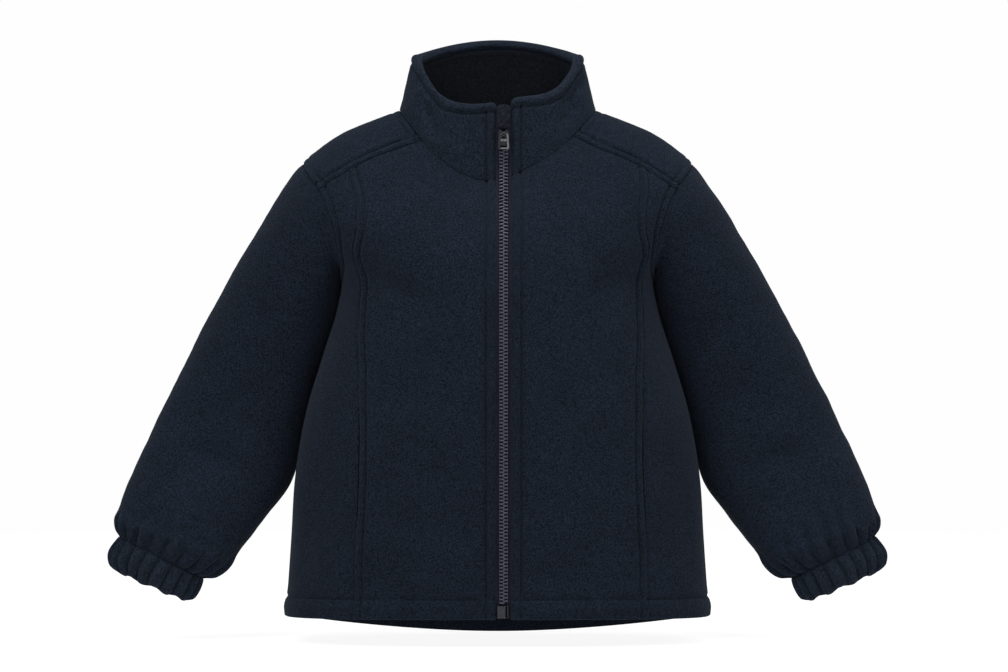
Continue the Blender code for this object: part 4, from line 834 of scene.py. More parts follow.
def zip_edge(side):
    """From the hem to the neck along the edge beside the zip."""

    def at(share):
        heights = np.asarray(share, float)
        return np.column_stack([side * angle_at_x(placket_x(side), heights), heights])

    return at


def side_seam(share):
    heights = np.asarray(share, float) * UNDERARM
    return np.column_stack([np.full_like(heights, math.pi / 2), heights])


def armhole(shoulder_end):
    """The armhole in three runs: up its front to the shoulder seam, over to the top, down its back."""
    underarm = np.array([math.pi / 2, UNDERARM])
    top = np.array([math.pi / 2, SHOULDER_POINT])
    front = [seen_point(point, 1) for point in ARMHOLE_FRONT]
    over = [seen_point(point, 1) for point in ARMHOLE_TOP_FRONT]
    back = [seen_point(point, 1, "back") for point in ARMHOLE_BACK]
    around = [underarm] + front + [shoulder_end] + over + [top] + back[::-1] + [underarm]
    places = np.array(around) * ARMHOLE_SCALE
    lengths = path_lengths(places)
    curve = curve_through(places, lengths)
    seam_at = lengths[1 + len(front)]
    top_at = lengths[2 + len(front) + len(over)]

    def unscaled(start, end):
        run = part_of(curve, start, end)
        return lambda share: run(share) / ARMHOLE_SCALE

    return unscaled(0.0, seam_at), unscaled(seam_at, top_at), unscaled(top_at, lengths[-1])


def body_seams(side):
    inner, outer = shoulder_seams(side)
    front, top, back = armhole(outer(np.array([1.0]))[0])
    return {
        "zip": zip_edge(side),
        "princess": princess_seam(side, inner(np.array([1.0]))[0]),
        "shoulder_inner": inner,
        "shoulder_outer": outer,
        "side": side_seam,
        "armhole_front": front,
        "armhole_top": top,
        "armhole_back": back,
    }


def neck_run(start, end):
    """The neck seam from one angle to another."""

    def at(share):
        angles = start + np.asarray(share, float) * (end - start)
        return np.column_stack([angles, np.ones_like(angles)])

    return at


def front_neck(seams):
    """The neck seam of one front."""
    return neck_run(seams["zip"]([1.0])[0, 0], NECK_CORNER_ANGLE)


def mirrored(path, side):
    return np.array(path) * [side, 1.0]


def far(path):
    """A path on the left side, carried to the right one as angles past the centre back."""
    return np.column_stack([2 * math.pi - path[:, 0], path[:, 1]])


def run_length(run, side=1):
    """How long a seam is on the body."""
    path = run(np.linspace(0.0, 1.0, RUN_POINTS))
    return path_lengths(body_at(side * path[:, 0], path[:, 1]))[-1]


def spread_shares(length, fine_start=True, fine_end=True, open_step=OPEN_STEP):
    """Shares along a run, closer together near an end that is a seam."""
    at = np.linspace(0.0, length, SPREAD_SAMPLES)
    gap = np.full_like(at, STEP_REACH[-1])
    if fine_start:
        gap = np.minimum(gap, at)
    if fine_end:
        gap = np.minimum(gap, length - at)
    step = np.interp(gap, STEP_REACH, (SEAM_STEP, SEAM_STEP, STITCH_STEP, STITCH_STEP, open_step))
    steps = np.concatenate([[0.0], np.cumsum((at[1] - at[0]) / step[1:])])
    count = math.ceil(steps[-1])
    return np.interp(np.linspace(0.0, steps[-1], count + 1), steps, at) / length


def joined(*paths):
    """Paths end to end, each starting where the one before it ends."""
    return np.concatenate([paths[0]] + [path[1:] for path in paths[1:]])


def shares_of(path, side=1):
    """How far along its own length each point of a path on the body lies, from 0 to 1."""
    lengths = path_lengths(body_at(side * path[:, 0], path[:, 1]))
    return lengths / lengths[-1]


# Patches.
def shared_steps(first, second):
    """How far along two opposite edges each step lies, as one share from 0 to 1."""
    one = path_lengths(first)
    two = path_lengths(second)
    return 0.5 * (one / one[-1] + two / two[-1])


def blend_edges(left, right, bottom, top, up, across):
    """A grid between four edges, each a row of points. Left and right run up, the others run across."""
    sides = (1 - across) * left[:, None] + across * right[:, None]
    ends = (1 - up) * bottom[None] + up * top[None]
    corners = (1 - up) * ((1 - across) * left[0] + across * right[0])
    corners = corners + up * ((1 - across) * left[-1] + across * right[-1])
    return sides + ends - corners


def nearest_on_body(targets, places):
    """The places on the body nearest to these points, found by steps from first guesses."""
    for _ in range(NEAREST_STEPS):
        here = body_at(places[..., 0], places[..., 1])
        by_angle = (body_at(places[..., 0] + SLOPE_STEP, places[..., 1]) - here) / SLOPE_STEP
        by_height = (here - body_at(places[..., 0], places[..., 1] - SLOPE_STEP)) / SLOPE_STEP
        miss = targets - here
        aa = np.sum(by_angle * by_angle, axis=-1) + TINY
        ah = np.sum(by_angle * by_height, axis=-1)
        hh = np.sum(by_height * by_height, axis=-1) + TINY
        miss_a = np.sum(miss * by_angle, axis=-1)
        miss_h = np.sum(miss * by_height, axis=-1)
        scale = aa * hh - ah * ah
        turned = (hh * miss_a - ah * miss_h) / scale
        raised = (aa * miss_h - ah * miss_a) / scale
        change = np.stack([turned, raised], axis=-1)
        places = places + np.clip(change, -NEAREST_LIMIT, NEAREST_LIMIT)
        places[..., 1] = np.clip(places[..., 1], NEAREST_LOWEST, 1.0)
    return places


def patch(*edges):
    """A grid of places between four edges: it is blended in space, then set back on the body."""
    spread = [body_at(edge[:, 0], edge[:, 1]) for edge in edges]
    up = shared_steps(spread[0], spread[1])[:, None, None]
    across = shared_steps(spread[2], spread[3])[None, :, None]
    places = blend_edges(*edges, up, across)
    targets = blend_edges(*spread, up, across)
    inside = (slice(1, -1), slice(1, -1))
    places[inside] = nearest_on_body(targets[inside], places[inside])
    return places


def flat_patch(left, right, bottom, top, up, across):
    """A grid of places between four edges, blended as angles and heights."""
    return blend_edges(left, right, bottom, top, up[:, None, None], across[None, :, None])


def front_block(side, seams):
    """A centre front, from the zip to the princess seam."""
    neck = front_neck(seams)
    shoulder = seams["shoulder_inner"]
    top = joined(
        neck(spread_shares(run_length(neck, side), fine_end=False)),
        shoulder(spread_shares(run_length(shoulder, side), fine_start=False)),
    )
    across = shares_of(top, side)[:, None]
    up = spread_shares(run_length(seams["zip"], side))
    left, right = seams["zip"](up), seams["princess"](up)
    bottom = left[0] + across * (right[0] - left[0])
    return patch(*(mirrored(edge, side) for edge in (left, right, bottom, top)))


def side_front_block(side, seams):
    """A side front, from the princess seam to the side seam and the armhole."""
    top = seams["shoulder_outer"](spread_shares(run_length(seams["shoulder_outer"], side)))
    right = joined(
        seams["side"](spread_shares(run_length(seams["side"], side), fine_end=False)),
        seams["armhole_front"](spread_shares(run_length(seams["armhole_front"], side), fine_start=False)),
    )
    left = seams["princess"](shares_of(right, side))
    bottom = left[0] + shares_of(top, side)[:, None] * (right[0] - left[0])
    return patch(*(mirrored(edge, side) for edge in (left, right, bottom, top)))


def line_across(near, opposite, rise, across):
    """A path over the back from a place on the left to one on the right, risen in between."""
    path = near + across[:, None] * (opposite - near)
    path[:, 1] += rise * np.clip(np.sin(math.pi * across), 0.0, 1.0) ** RISE_POWER
    return path


def back_blocks(left, right):
    """The back as three patches that share edges: below the armholes, between them, and the yoke."""
    over = spread_shares(run_length(left["shoulder_outer"]), fine_end=False)
    inner = spread_shares(run_length(left["shoulder_inner"]), fine_start=False, fine_end=False)
    neck_angles = neck_run(NECK_CORNER_ANGLE, 2 * math.pi - NECK_CORNER_ANGLE)
    neck = neck_angles(spread_shares(run_length(neck_angles), False, False))
    near_top = joined(left["shoulder_outer"](1 - over), left["shoulder_inner"](1 - inner))
    far_inner = right["shoulder_inner"]((1 - inner)[::-1])
    far_top = far(joined(far_inner, right["shoulder_outer"]((1 - over)[::-1])))
    yoke_top = joined(near_top, neck, far_top)
    across = shares_of(yoke_top)
    floor_run = part_of(left["armhole_back"], 1.0, 1 - ARMHOLE_FLOOR_SHARE)
    wall_run = part_of(left["armhole_back"], 1 - ARMHOLE_FLOOR_SHARE, 0.0)
    floor = spread_shares(run_length(floor_run), True, False)
    wall = spread_shares(run_length(wall_run), False, False)
    near_floor = left["armhole_back"](1 - floor * ARMHOLE_FLOOR_SHARE)
    far_floor = far(right["armhole_back"](1 - floor * ARMHOLE_FLOOR_SHARE))
    near_wall = left["armhole_back"]((1 - ARMHOLE_FLOOR_SHARE) * (1 - wall))
    far_wall = far(right["armhole_back"]((1 - ARMHOLE_FLOOR_SHARE) * (1 - wall)))
    chest = line_across(near_floor[-1], far_floor[-1], CHEST_RISE, across)
    shoulders = line_across(near_wall[-1], far_wall[-1], YOKE_RISE, across)
    lower_top = joined(near_floor, chest, far_floor[::-1])
    wide = shares_of(lower_top)
    up = spread_shares(run_length(left["side"]))
    sides = left["side"](up), far(right["side"](up))
    hem = sides[0][0] + wide[:, None] * (sides[1][0] - sides[0][0])
    cap = spread_shares(run_length(left["armhole_top"]), False, True)
    caps = left["armhole_top"](1 - cap), far(right["armhole_top"](1 - cap))
    return (
        flat_patch(*sides, hem, lower_top, up, wide),
        flat_patch(near_wall, far_wall, chest, shoulders, wall, across),
        flat_patch(*caps, shoulders, yoke_top, cap, across),
    )


# Cloth: a wall from places on a surface, with relief on its outer side.
def joined_blocks(blocks):
    """One list of places for patches that share edges, and the cells between them."""
    rows = np.concatenate([block.reshape(-1, 2) for block in blocks])
    keys = np.round(rows, 7)
    _, first, numbers = np.unique(keys, axis=0, return_index=True, return_inverse=True)
    numbers = numbers.reshape(-1)
    cells, start = [], 0
    for block in blocks:
        grid = numbers[start : start + block.shape[0] * block.shape[1]].reshape(block.shape[:2])
        cells.append(grid_cells(grid))
        start += grid.size
    return rows[first], np.concatenate(cells)


def grid_cells(numbers):
    """The cells of a grid of vertex numbers, as rows of four."""
    cells = np.stack([numbers[:-1, :-1], numbers[:-1, 1:], numbers[1:, 1:], numbers[1:, :-1]], axis=-1)
    return cells.reshape(-1, 4)


def loop_cells(numbers):
    """The cells of a grid whose rows are closed rings."""
    return grid_cells(np.concatenate([numbers, numbers[:, :1]], axis=1))


def rim_of(cells):
    """The edges that only one cell has, in that cell's direction, and the cell."""
    starts = cells.reshape(-1)
    ends = np.roll(cells, -1, axis=1).reshape(-1)
    keys = np.sort(np.stack([starts, ends], axis=1), axis=1)
    _, first, counts = np.unique(keys, axis=0, return_index=True, return_counts=True)
    alone = first[counts == 1]
    return starts[alone], ends[alone], alone // 4


def distance_along(points, line):
    """How far each point is from a line of points, and how far along the line it is nearest."""
    starts, ends = line[:-1], line[1:]
    runs = ends - starts
    squares = np.maximum(np.sum(runs * runs, axis=1), 1e-12)
    lengths = path_lengths(line)
    far_off, along = [], []
    for chunk in np.array_split(points, max(1, len(points) // 3000)):
        offset = chunk[:, None] - starts[None]
        share = np.clip(np.sum(offset * runs[None], axis=2) / squares, 0.0, 1.0)
        gap = np.linalg.norm(offset - share[..., None] * runs[None], axis=2)
        nearest = np.argmin(gap, axis=1)
        rows = np.arange(len(chunk))
        far_off.append(gap[rows, nearest])
        along.append(lengths[nearest] + share[rows, nearest] * np.sqrt(squares[nearest]))
    return np.concatenate(far_off), np.concatenate(along)


def edge_round(gap, radius):
    """How far cloth turns in at an edge, as a quarter round."""
    inside = np.clip(radius - gap, 0.0, radius)
    return -(radius - np.sqrt(radius * radius - inside * inside))


def furrow_at(gap, at):
    """The furrow of a row of stitching at this distance from an edge."""
    return -FURROW_DEPTH * bell(gap - at, FURROW_WIDTH)


def puff_at(gap, at, height):
    """The soft cloth on both sides of a row of stitching, higher between it and the edge."""
    inner = height * np.sin(math.pi * np.clip(gap / at, 0.0, 1.0)) ** 2
    outer = OUTER_PUFF * bell(gap - at - OUTER_PUFF_AT, OUTER_PUFF_WIDTH)
    return np.maximum(inner, outer)


def stitched(gap, at, height):
    return furrow_at(gap, at) + puff_at(gap, at, height)


def uneven(points):
    """The cloth's slight unevenness at these points."""
    total = np.zeros(points.shape[:-1])
    for wave in UNEVENNESS:
        way = unit(np.array([wave.x, wave.y, wave.z]))
        total += wave.height * np.sin(2 * math.pi * (points @ way) / wave.length + 3.0 * wave.y)
    return total


# A line that shapes the cloth beside it: its points, how round the edge is, how far off its stitching is
# and how high the cloth between them puffs up.
Line = namedtuple("Line", "points round stitch puff")


def near_tip(surface, x, z):
    """1 at a tip seen square on, on either side, fading away from it."""
    return np.exp(-((np.abs(surface[:, 0]) - x) ** 2 + (surface[:, 2] - z) ** 2) / TIP_REACH**2)


def body_relief(surface, angles, lines):
    """How far the cloth of the body stands out from its surface."""
    relief = fold_height(BODY_CREASES, surface[:, 0], surface[:, 2], facing(np.cos(angles)))
    from_side = np.abs(np.abs((angles + math.pi) % (2 * math.pi) - math.pi) - math.pi / 2)
    beside_arm = np.clip(1 - from_side / BESIDE_ARM, 0.0, 1.0)
    relief += uneven(surface) * (1 - smooth_step(beside_arm, 0.0, BESIDE_ARM_CALM))
    turned_in, furrow, puff = np.zeros((3, len(surface)))
    for line in lines:
        gap, _ = distance_along(surface, line.points)
        turned_in = np.minimum(turned_in, edge_round(gap, line.round))
        if line.stitch:
            furrow = np.minimum(furrow, furrow_at(gap, line.stitch))
            puff = np.maximum(puff, puff_at(gap, line.stitch, line.puff))
    at_tip = np.maximum(near_tip(surface, TIP_X, TIP_Z), near_tip(surface, NECK_TIP_X, 0.0))
    return relief + turned_in + (furrow + puff) * (1 - TIP_CALM * at_tip)


def on_body(path, side=1):
    return body_at(side * path[:, 0], path[:, 1])


def seam_line(run, side, round_by=SEAM_ROUND, stitch=0.0, is_far=False, puff=PUFF):
    path = run(np.linspace(0.0, 1.0, LINE_POINTS))
    points = on_body(far(path)) if is_far else on_body(path, side)
    return Line(points, round_by, stitch, puff)


def rim_drawn_in(surface, cells, amounts):
    """The points with each rim vertex moved into its cell by its amount."""
    starts, ends, owners = rim_of(cells)
    run = unit(surface[ends] - surface[starts])
    inward = surface[cells[owners]].mean(axis=1) - surface[starts]
    inward = unit(inward - np.sum(inward * run, axis=1, keepdims=True) * run)
    pull = np.zeros_like(surface)
    both = np.minimum(amounts[starts], amounts[ends])[:, None] * inward
    np.add.at(pull, starts, both)
    np.add.at(pull, ends, both)
    counts = np.zeros(len(surface))
    np.add.at(counts, starts, 1.0)
    np.add.at(counts, ends, 1.0)
    return surface + pull / np.maximum(counts, 1.0)[:, None]


def pocket_gape(z):
    """How far the cloth's edge stands back in a pocket's opening."""
    middle = (POCKET_TOP_Z + POCKET_BOTTOM_Z) / 2
    half = (POCKET_TOP_Z - POCKET_BOTTOM_Z) / 2
    return POCKET_GAPE * np.sqrt(np.clip(1 - ((z - middle) / half) ** 2, 0.0, 1.0))


def mesh_of(name, points, faces):
    """A mesh from points in millimetres and faces of four corners, turned the right way out."""
    corners = points[faces]
    volume = np.sum(corners[:, 0] * np.cross(corners[:, 1], corners[:, 2]))
    volume += np.sum(corners[:, 0] * np.cross(corners[:, 2], corners[:, 3]))
    if volume < 0:
        faces = faces[:, ::-1]
    mesh = bpy.data.meshes.new(name)
    mesh.vertices.add(len(points))
    mesh.vertices.foreach_set("co", (points * MM).astype(np.float32).ravel())
    mesh.loops.add(faces.size)
    mesh.loops.foreach_set("vertex_index", np.ascontiguousarray(faces, np.int32).ravel())
    mesh.polygons.add(len(faces))
    mesh.polygons.foreach_set("loop_start", np.arange(0, faces.size, 4, dtype=np.int32))
    mesh.update(calc_edges=True)
    mesh.shade_smooth()
    mesh.set_sharp_from_angle(angle=SHARP_ANGLE)
    return mesh


def wall_faces(cells, count):
    """The faces of a closed wall whose inner points follow its outer ones."""
    starts, ends, _ = rim_of(cells)
    rim = np.stack([ends, starts, starts + count, ends + count], axis=1)
    return np.concatenate([cells, cells[:, ::-1] + count, rim])


def sheet_faces(rows, columns):
    """The faces of a closed wall over a plain grid."""
    count = rows * columns
    return wall_faces(grid_cells(np.arange(count).reshape(rows, columns)), count)


def add_piece(name, points, faces, finish, replaced):
    """A piece that rides on the jacket's body, stands for its solids and takes a slot's finish."""
    mesh = mesh_of(name, points, faces)
    mesh.materials.append(finish)
    piece = bpy.data.objects.new(name, mesh)
    bpy.context.scene.collection.objects.link(piece)
    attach(piece, JACKET)
    if replaced:
        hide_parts(*replaced)
    return mesh


def body_cloth(name, blocks, lines, finish, replaced, gape=None):
    """A body panel as a closed wall."""
    places, cells = joined_blocks(blocks)
    angles, heights = places[:, 0], places[:, 1]
    surface, normals = skin(places)
    relief = body_relief(surface, angles, lines)
    at_seam = np.where(heights > 0, HALF_GAP, 0.0)
    if gape:
        toward, line = gape
        gap, _ = distance_along(surface, line)
        across = unit(body_at(angles + SMALL_STEP, heights) - surface) * toward
        fade = (1 - smooth_step(gap, 0.0, GAPE_REACH))[:, None]
        surface = surface + across * (pocket_gape(surface[:, 2])[:, None] * fade)
    surface = rim_drawn_in(surface, cells, at_seam)
    band = (1 - smooth_step(heights, HEM_TOP, HEM_SHOULDER))[:, None]
    outer = surface + normals * (relief[:, None] + HEM_EXTRA_OUT * band)
    inner = surface - normals * (FLEECE + HEM_EXTRA_IN * band)
    add_piece(name, both_layers(outer, inner), wall_faces(cells, len(outer)), finish, replaced)


def hem_path(start, end, count):
    """The hem from one angle to another."""
    return np.column_stack([np.linspace(start, end, count), np.zeros(count)])


def nape_to_hem_lines(side, seams):
    """The hem and the seams of one side that its front pieces share."""
    hem = hem_path(0.0, FRONT_HEM_END, 80)
    return {
        "zip": seam_line(seams["zip"], side, ZIP_ROUND, ZIP_STITCH, puff=ZIP_PUFF),
        "princess": seam_line(seams["princess"], side, stitch=SEAM_STITCH),
        "princess_plain": seam_line(seams["princess"], side),
        "shoulder_inner": seam_line(seams["shoulder_inner"], side),
        "shoulder_outer": seam_line(seams["shoulder_outer"], side),
        "side": seam_line(seams["side"], side),
        "armhole_front": seam_line(seams["armhole_front"], side, stitch=SEAM_STITCH),
        "neck": seam_line(front_neck(seams), side, NECK_ROUND),
        "hem": Line(on_body(hem, side), HEM_ROUND, HEM_STITCH, HEM_PUFF),
    }


FRONT_LINES = ("zip", "princess", "shoulder_inner", "neck", "hem")
SIDE_FRONT_LINES = ("princess_plain", "shoulder_outer", "side", "armhole_front", "hem")


def add_fronts(seams, finish):
    kinds = (
        ("front_", front_block, FRONT_LINES, -1),
        ("side_front_", side_front_block, SIDE_FRONT_LINES, 1),
    )
    for name, side in SIDES.items():
        lines = nape_to_hem_lines(side, seams[name])
        for kind, block, keys, toward in kinds:
            chosen = [lines[key] for key in keys]
            blocks = [block(side, seams[name])]
            gape = (toward * side, lines["princess"].points)
            body_cloth("cloth_" + kind + name, blocks, chosen, finish, [kind + name], gape)


def back_lines(left, right):
    """The lines of the back: the neck, the hem, and the seams of both sides."""
    neck = neck_run(NECK_CORNER_ANGLE, 2 * math.pi - NECK_CORNER_ANGLE)
    hem = hem_path(BACK_HEM_START, 2 * math.pi - BACK_HEM_START, 300)
    lines = [
        seam_line(neck, 1, NECK_ROUND, puff=NECK_PUFF, stitch=NECK_STITCH),
        Line(on_body(hem), HEM_ROUND, HEM_STITCH, HEM_PUFF),
    ]
    for seams, is_far in ((left, False), (right, True)):
        lines.append(seam_line(seams["side"], 1, is_far=is_far))
        for key in ("shoulder_inner", "shoulder_outer", "armhole_top", "armhole_back"):
            lines.append(seam_line(seams[key], 1, stitch=SEAM_STITCH, is_far=is_far))
    return lines


# Sleeves and cuffs. A turn round them starts at the underarm and runs by the front to the top and back.
SLEEVE_CURVE = curve_through(SLEEVE_RINGS, range(len(SLEEVE_RINGS)))
CUFF_CURVE = curve_through(CUFF_RINGS, range(len(CUFF_RINGS)))


def arm_ring(columns, turn, inset=0.0):
    """A place on a sleeve's or cuff's ring, on the left side."""
    outer_x, outer_z, inner_x, inner_z, thickness, middle_y = np.moveaxis(columns, -1, 0)
    half = 0.5 * np.hypot(outer_x - inner_x, outer_z - inner_z)
    toward_x = (outer_x - inner_x) / (2 * half)
    toward_z = (outer_z - inner_z) / (2 * half)
    reach = roundness(turn, SLEEVE_SQUARE)
    outward = -np.cos(turn) * reach * (half - inset)
    forward = np.sin(turn) * reach * (thickness / 2 - inset)
    x = (outer_x + inner_x) / 2 + outward * toward_x
    z = (outer_z + inner_z) / 2 + outward * toward_z
    return np.stack([x, middle_y - forward, z], axis=-1)


def gathers(turn, lean):
    """Rounded ridges between narrow valleys, uneven in height and leaning, from -1 to 1."""
    moved = turn + lean * sum(size * np.sin(count * turn + shift) for size, count, shift in GATHER_SWAY)
    place = (GATHERS * moved / (2 * math.pi)) % GATHERS
    index = np.floor(place).astype(int) % GATHERS
    ridge = np.abs(np.sin(math.pi * place)) ** GATHER_SHARPNESS
    return ridge * (1 + np.array(GATHER_SIZES)[index]) - 1


def gather_reach(turn):
    """How far up the sleeve each gather runs, as a share of the longest."""
    place = (GATHERS * turn / (2 * math.pi) - 0.5) % GATHERS
    index = np.floor(place).astype(int) % GATHERS
    reaches = np.array(GATHER_REACHES)
    share = place - np.floor(place)
    return reaches[index] * (1 - share) + reaches[(index + 1) % GATHERS] * share


def outward_of(place, columns, turn, inset=OUTWARD_INSET):
    return unit(place - arm_ring(columns, turn, inset))


def plain_sleeve(rows, turn, side):
    """A sleeve's surface without its gathers or its join to the armhole, on the left side."""
    place = arm_ring(SLEEVE_CURVE(rows), turn)
    across, up = place[..., 0] + SLEEVE_FOLD_SHIFT * side, place[..., 2]
    fold = fold_height(SLEEVE_FOLDS, across, up, facing(np.sin(turn)))
    place[..., 1] -= fold * np.sin(turn)
    return place


def inner_side(turn, outer_share):
    """1 on the side of an arm that faces the body, falling to the outer side's share."""
    return outer_share + (1 - outer_share) * (0.5 + 0.5 * np.cos(turn))


def sleeve_relief(place, rows, turn, side):
    """Creases, gathers and unevenness of a sleeve, along its outward direction."""
    across, up = place[..., 0] + SLEEVE_FOLD_SHIFT * side, place[..., 2]
    creases = SLEEVE_CREASES + OWN_SLEEVE_CREASES[side]
    toward_body = np.clip(np.cos(turn), 0.0, 1.0)
    calm = toward_body**2 * (1 - smooth_step(rows, *CALM_SLEEVE_ROWS))
    relief = fold_height(creases, across, up, facing(np.sin(turn)))
    relief += uneven(place * [side, 1.0, 1.0]) * (1 - calm)
    last = len(SLEEVE_RINGS) - 1
    start = last - GATHER_FADE * gather_reach(turn)
    near = smooth_step(rows, start, last - GATHER_FULL)
    at_seam = smooth_step(rows, last - GATHER_SEAM_REACH, last)
    size = SLEEVE_GATHER * near + (SEAM_GATHER - SLEEVE_GATHER) * at_seam
    relief += size * gathers(turn, GATHER_LEAN * (last - rows))
    puff = rise_and_fall(rows - last, OVERHANG_RISE, OVERHANG_FALL)
    under = rise_and_fall(rows, UNDERARM_RISE, UNDERARM_FALL) * toward_body**4
    return relief + SLEEVE_OVERHANG * puff * inner_side(turn, OUTER_OVERHANG) + UNDERARM_FILL * under


def armhole_rim(side, seams, turns):
    """The sleeve's edge at the armhole, its outer and inner points, at these turns."""
    steps = np.linspace(0.0, 1.0, RIM_POINTS)
    path = joined(*(seams["armhole_" + part](steps) for part in ("front", "top", "back")))[:-1]
    surface, normals = (found * [side, 1.0, 1.0] for found in skin(mirrored(path, side)))
    run = unit(np.roll(surface, -1, axis=0) - np.roll(surface, 1, axis=0))
    outward = unit(np.cross(run, normals))
    outward *= -np.sign(np.sum(outward * (surface - surface.mean(axis=0)), axis=1, keepdims=True))
    outer = surface + outward * HALF_GAP
    inner = outer - normals * FLEECE
    first = SLEEVE_RINGS[0]
    toward = np.array([first.outer_x - first.inner_x, first.outer_z - first.inner_z])
    half = np.hypot(*toward) / 2
    centre = np.array([first.outer_x + first.inner_x, first.outer_z + first.inner_z]) / 2
    outward_share = ((surface[:, [0, 2]] - centre) @ unit(toward)) / half
    forward_share = (first.middle_y - surface[:, 1]) / (first.thickness / 2)
    turn = np.arctan2(forward_share, -outward_share) % (2 * math.pi)
    turn[0] = 0.0
    order = np.argsort(turn)
    ends = np.concatenate([turn[order], [2 * math.pi]])
    loops = [np.concatenate([points[order], points[order][:1]]) for points in (outer, inner)]
    return [np.column_stack([np.interp(turns, ends, loop[:, k]) for k in range(3)]) for loop in loops]


def loop_normals(rings):
    """Outward normals of rings of points that run as a turn does."""
    around = np.roll(rings, -1, axis=1) - np.roll(rings, 1, axis=1)
    along = np.gradient(rings, axis=0)
    return unit(np.cross(along, around))


def cuff_lift():
    """The step from the cuff's seam back up the sleeve that leaves the seam's gap."""
    first, second = CUFF_RINGS[0], CUFF_RINGS[-1]
    down = np.array(
        [
            second.outer_x + second.inner_x - first.outer_x - first.inner_x,
            0.0,
            second.outer_z + second.inner_z - first.outer_z - first.inner_z,
        ]
    )
    return -unit(down) * SEAM_GAP


def sleeve_points(side, seams):
    """A sleeve's outer and inner points on the left side, ring by ring from the armhole."""
    turns = np.linspace(0.0, 2 * math.pi, SLEEVE_COLUMNS, endpoint=False)
    even = spread_shares(SLEEVE_LENGTH)
    rows = even * (len(SLEEVE_RINGS) - 1)
    grid_rows, grid_turns = np.meshgrid(rows, turns, indexing="ij")
    plain = plain_sleeve(grid_rows, grid_turns, side)
    rim, rim_inner = armhole_rim(side, seams, turns)
    fade = (1 - smooth_step(rows, 0.0, RIM_FADE))[:, None, None] ** RIM_FADE_POWER
    plain = plain + (rim - plain[0])[None] * fade
    end = cuff_points(np.array([0.0]), turns) + cuff_lift()
    join = smooth_step(rows, rows[-1] - CUFF_JOIN, rows[-1])[:, None, None]
    plain = plain + (end - plain[-1:]) * join
    normals = loop_normals(plain)
    relief = sleeve_relief(plain, grid_rows, grid_turns, side)
    from_rim = path_lengths_of(plain)
    relief = relief * smooth_step(from_rim, 0.0, RIM_RELIEF_REACH)
    relief += edge_round(from_rim, SEAM_ROUND)
    relief += edge_round(from_rim[-1:] - from_rim, SEAM_ROUND) * inner_side(grid_turns, OUTER_ROUND)
    seam_gap = np.minimum(grid_turns, 2 * math.pi - grid_turns) * SLEEVE_RADIUS
    groove = bell(seam_gap, UNDERARM_GROOVE_WIDTH)
    relief -= UNDERARM_GROOVE * groove * smooth_step(from_rim, 0.0, RIM_RELIEF_REACH)
    outer = plain + normals * relief[..., None]
    inner_depth = FLEECE + (SLEEVE_INNER - FLEECE) * smooth_step(rows, *SLEEVE_INNER_ROWS)
    inner = plain - normals * inner_depth[:, None, None]
    inner[0] = rim_inner
    return outer, inner


def path_lengths_of(rings):
    """How far down each point of a grid of rings lies from the first ring."""
    steps = np.linalg.norm(np.diff(rings, axis=0), axis=-1)
    return np.concatenate([np.zeros((1, rings.shape[1])), np.cumsum(steps, axis=0)])


def cuff_points(rows, turns, inset=0.0):
    grid_rows, grid_turns = np.meshgrid(rows, turns, indexing="ij")
    return arm_ring(CUFF_CURVE(grid_rows), grid_turns, inset)


def ring_wall_faces(outer_rows, inner_rows, columns):
    """The faces of a tube of outer rings and inner rings, joined at both ends."""
    numbers = np.arange((outer_rows + inner_rows) * columns).reshape(-1, columns)
    outer, inner = numbers[:outer_rows], numbers[outer_rows:]
    rings = np.concatenate([outer, inner[::-1], outer[:1]])
    return loop_cells(rings)


def add_sleeves(seams, finish):
    for name, side in SIDES.items():
        outer, inner = sleeve_points(side, seams[name])
        points = both_layers(outer, inner, side)
        faces = ring_wall_faces(len(outer), len(inner), outer.shape[1])
        add_piece("cloth_sleeve_" + name, points, faces, finish, ["sleeve_" + name])


def add_cuffs(finish):
    turns = np.linspace(0.0, 2 * math.pi, CUFF_COLUMNS, endpoint=False)
    rows = np.linspace(0.0, CUFF_END, CUFF_ROWS)
    plain = cuff_points(rows, turns)
    grid_rows, grid_turns = np.meshgrid(rows, turns, indexing="ij")
    outward = outward_of(plain, CUFF_CURVE(grid_rows), grid_turns)
    middle = np.sin(math.pi * np.clip(rows / CUFF_END, 0.0, 1.0)) ** CUFF_FULLNESS
    size = SEAM_GATHER + (CUFF_GATHER - SEAM_GATHER) * middle
    wave = gathers(grid_turns, CUFF_LEAN * (grid_rows - CUFF_LEAN_FROM))
    relief = size[:, None] * wave + CUFF_SWELL * middle[:, None]
    from_seam = path_lengths_of(plain)
    relief += edge_round(from_seam, CUFF_ROUND) * inner_side(grid_turns, OUTER_ROUND)
    relief += edge_round(from_seam[-1:] - from_seam, CUFF_ROUND)
    outer = plain + outward * relief[..., None]
    wavy = CUFF_WAVY * smooth_step(rows, *CUFF_WAVY_ROWS)[:, None]
    outer[..., 0] += CUFF_WAVY_X * wavy * np.sin(7 * turns + 0.5)
    outer[..., 2] += wavy * np.sin(9 * turns + 1.3)
    inner = cuff_points(np.linspace(0.0, CUFF_INNER_END, CUFF_INNER_ROWS), turns, CUFF_WALL)
    for name, side in SIDES.items():
        points = both_layers(outer, inner, side)
        faces = ring_wall_faces(len(outer), len(inner), CUFF_COLUMNS)
        add_piece("cloth_cuff_" + name, points, faces, finish, ["cuff_" + name])


# The collar.
COLLAR_CURVE = curve_through(COLLAR_RINGS, np.linspace(0.0, 1.0, len(COLLAR_RINGS)))


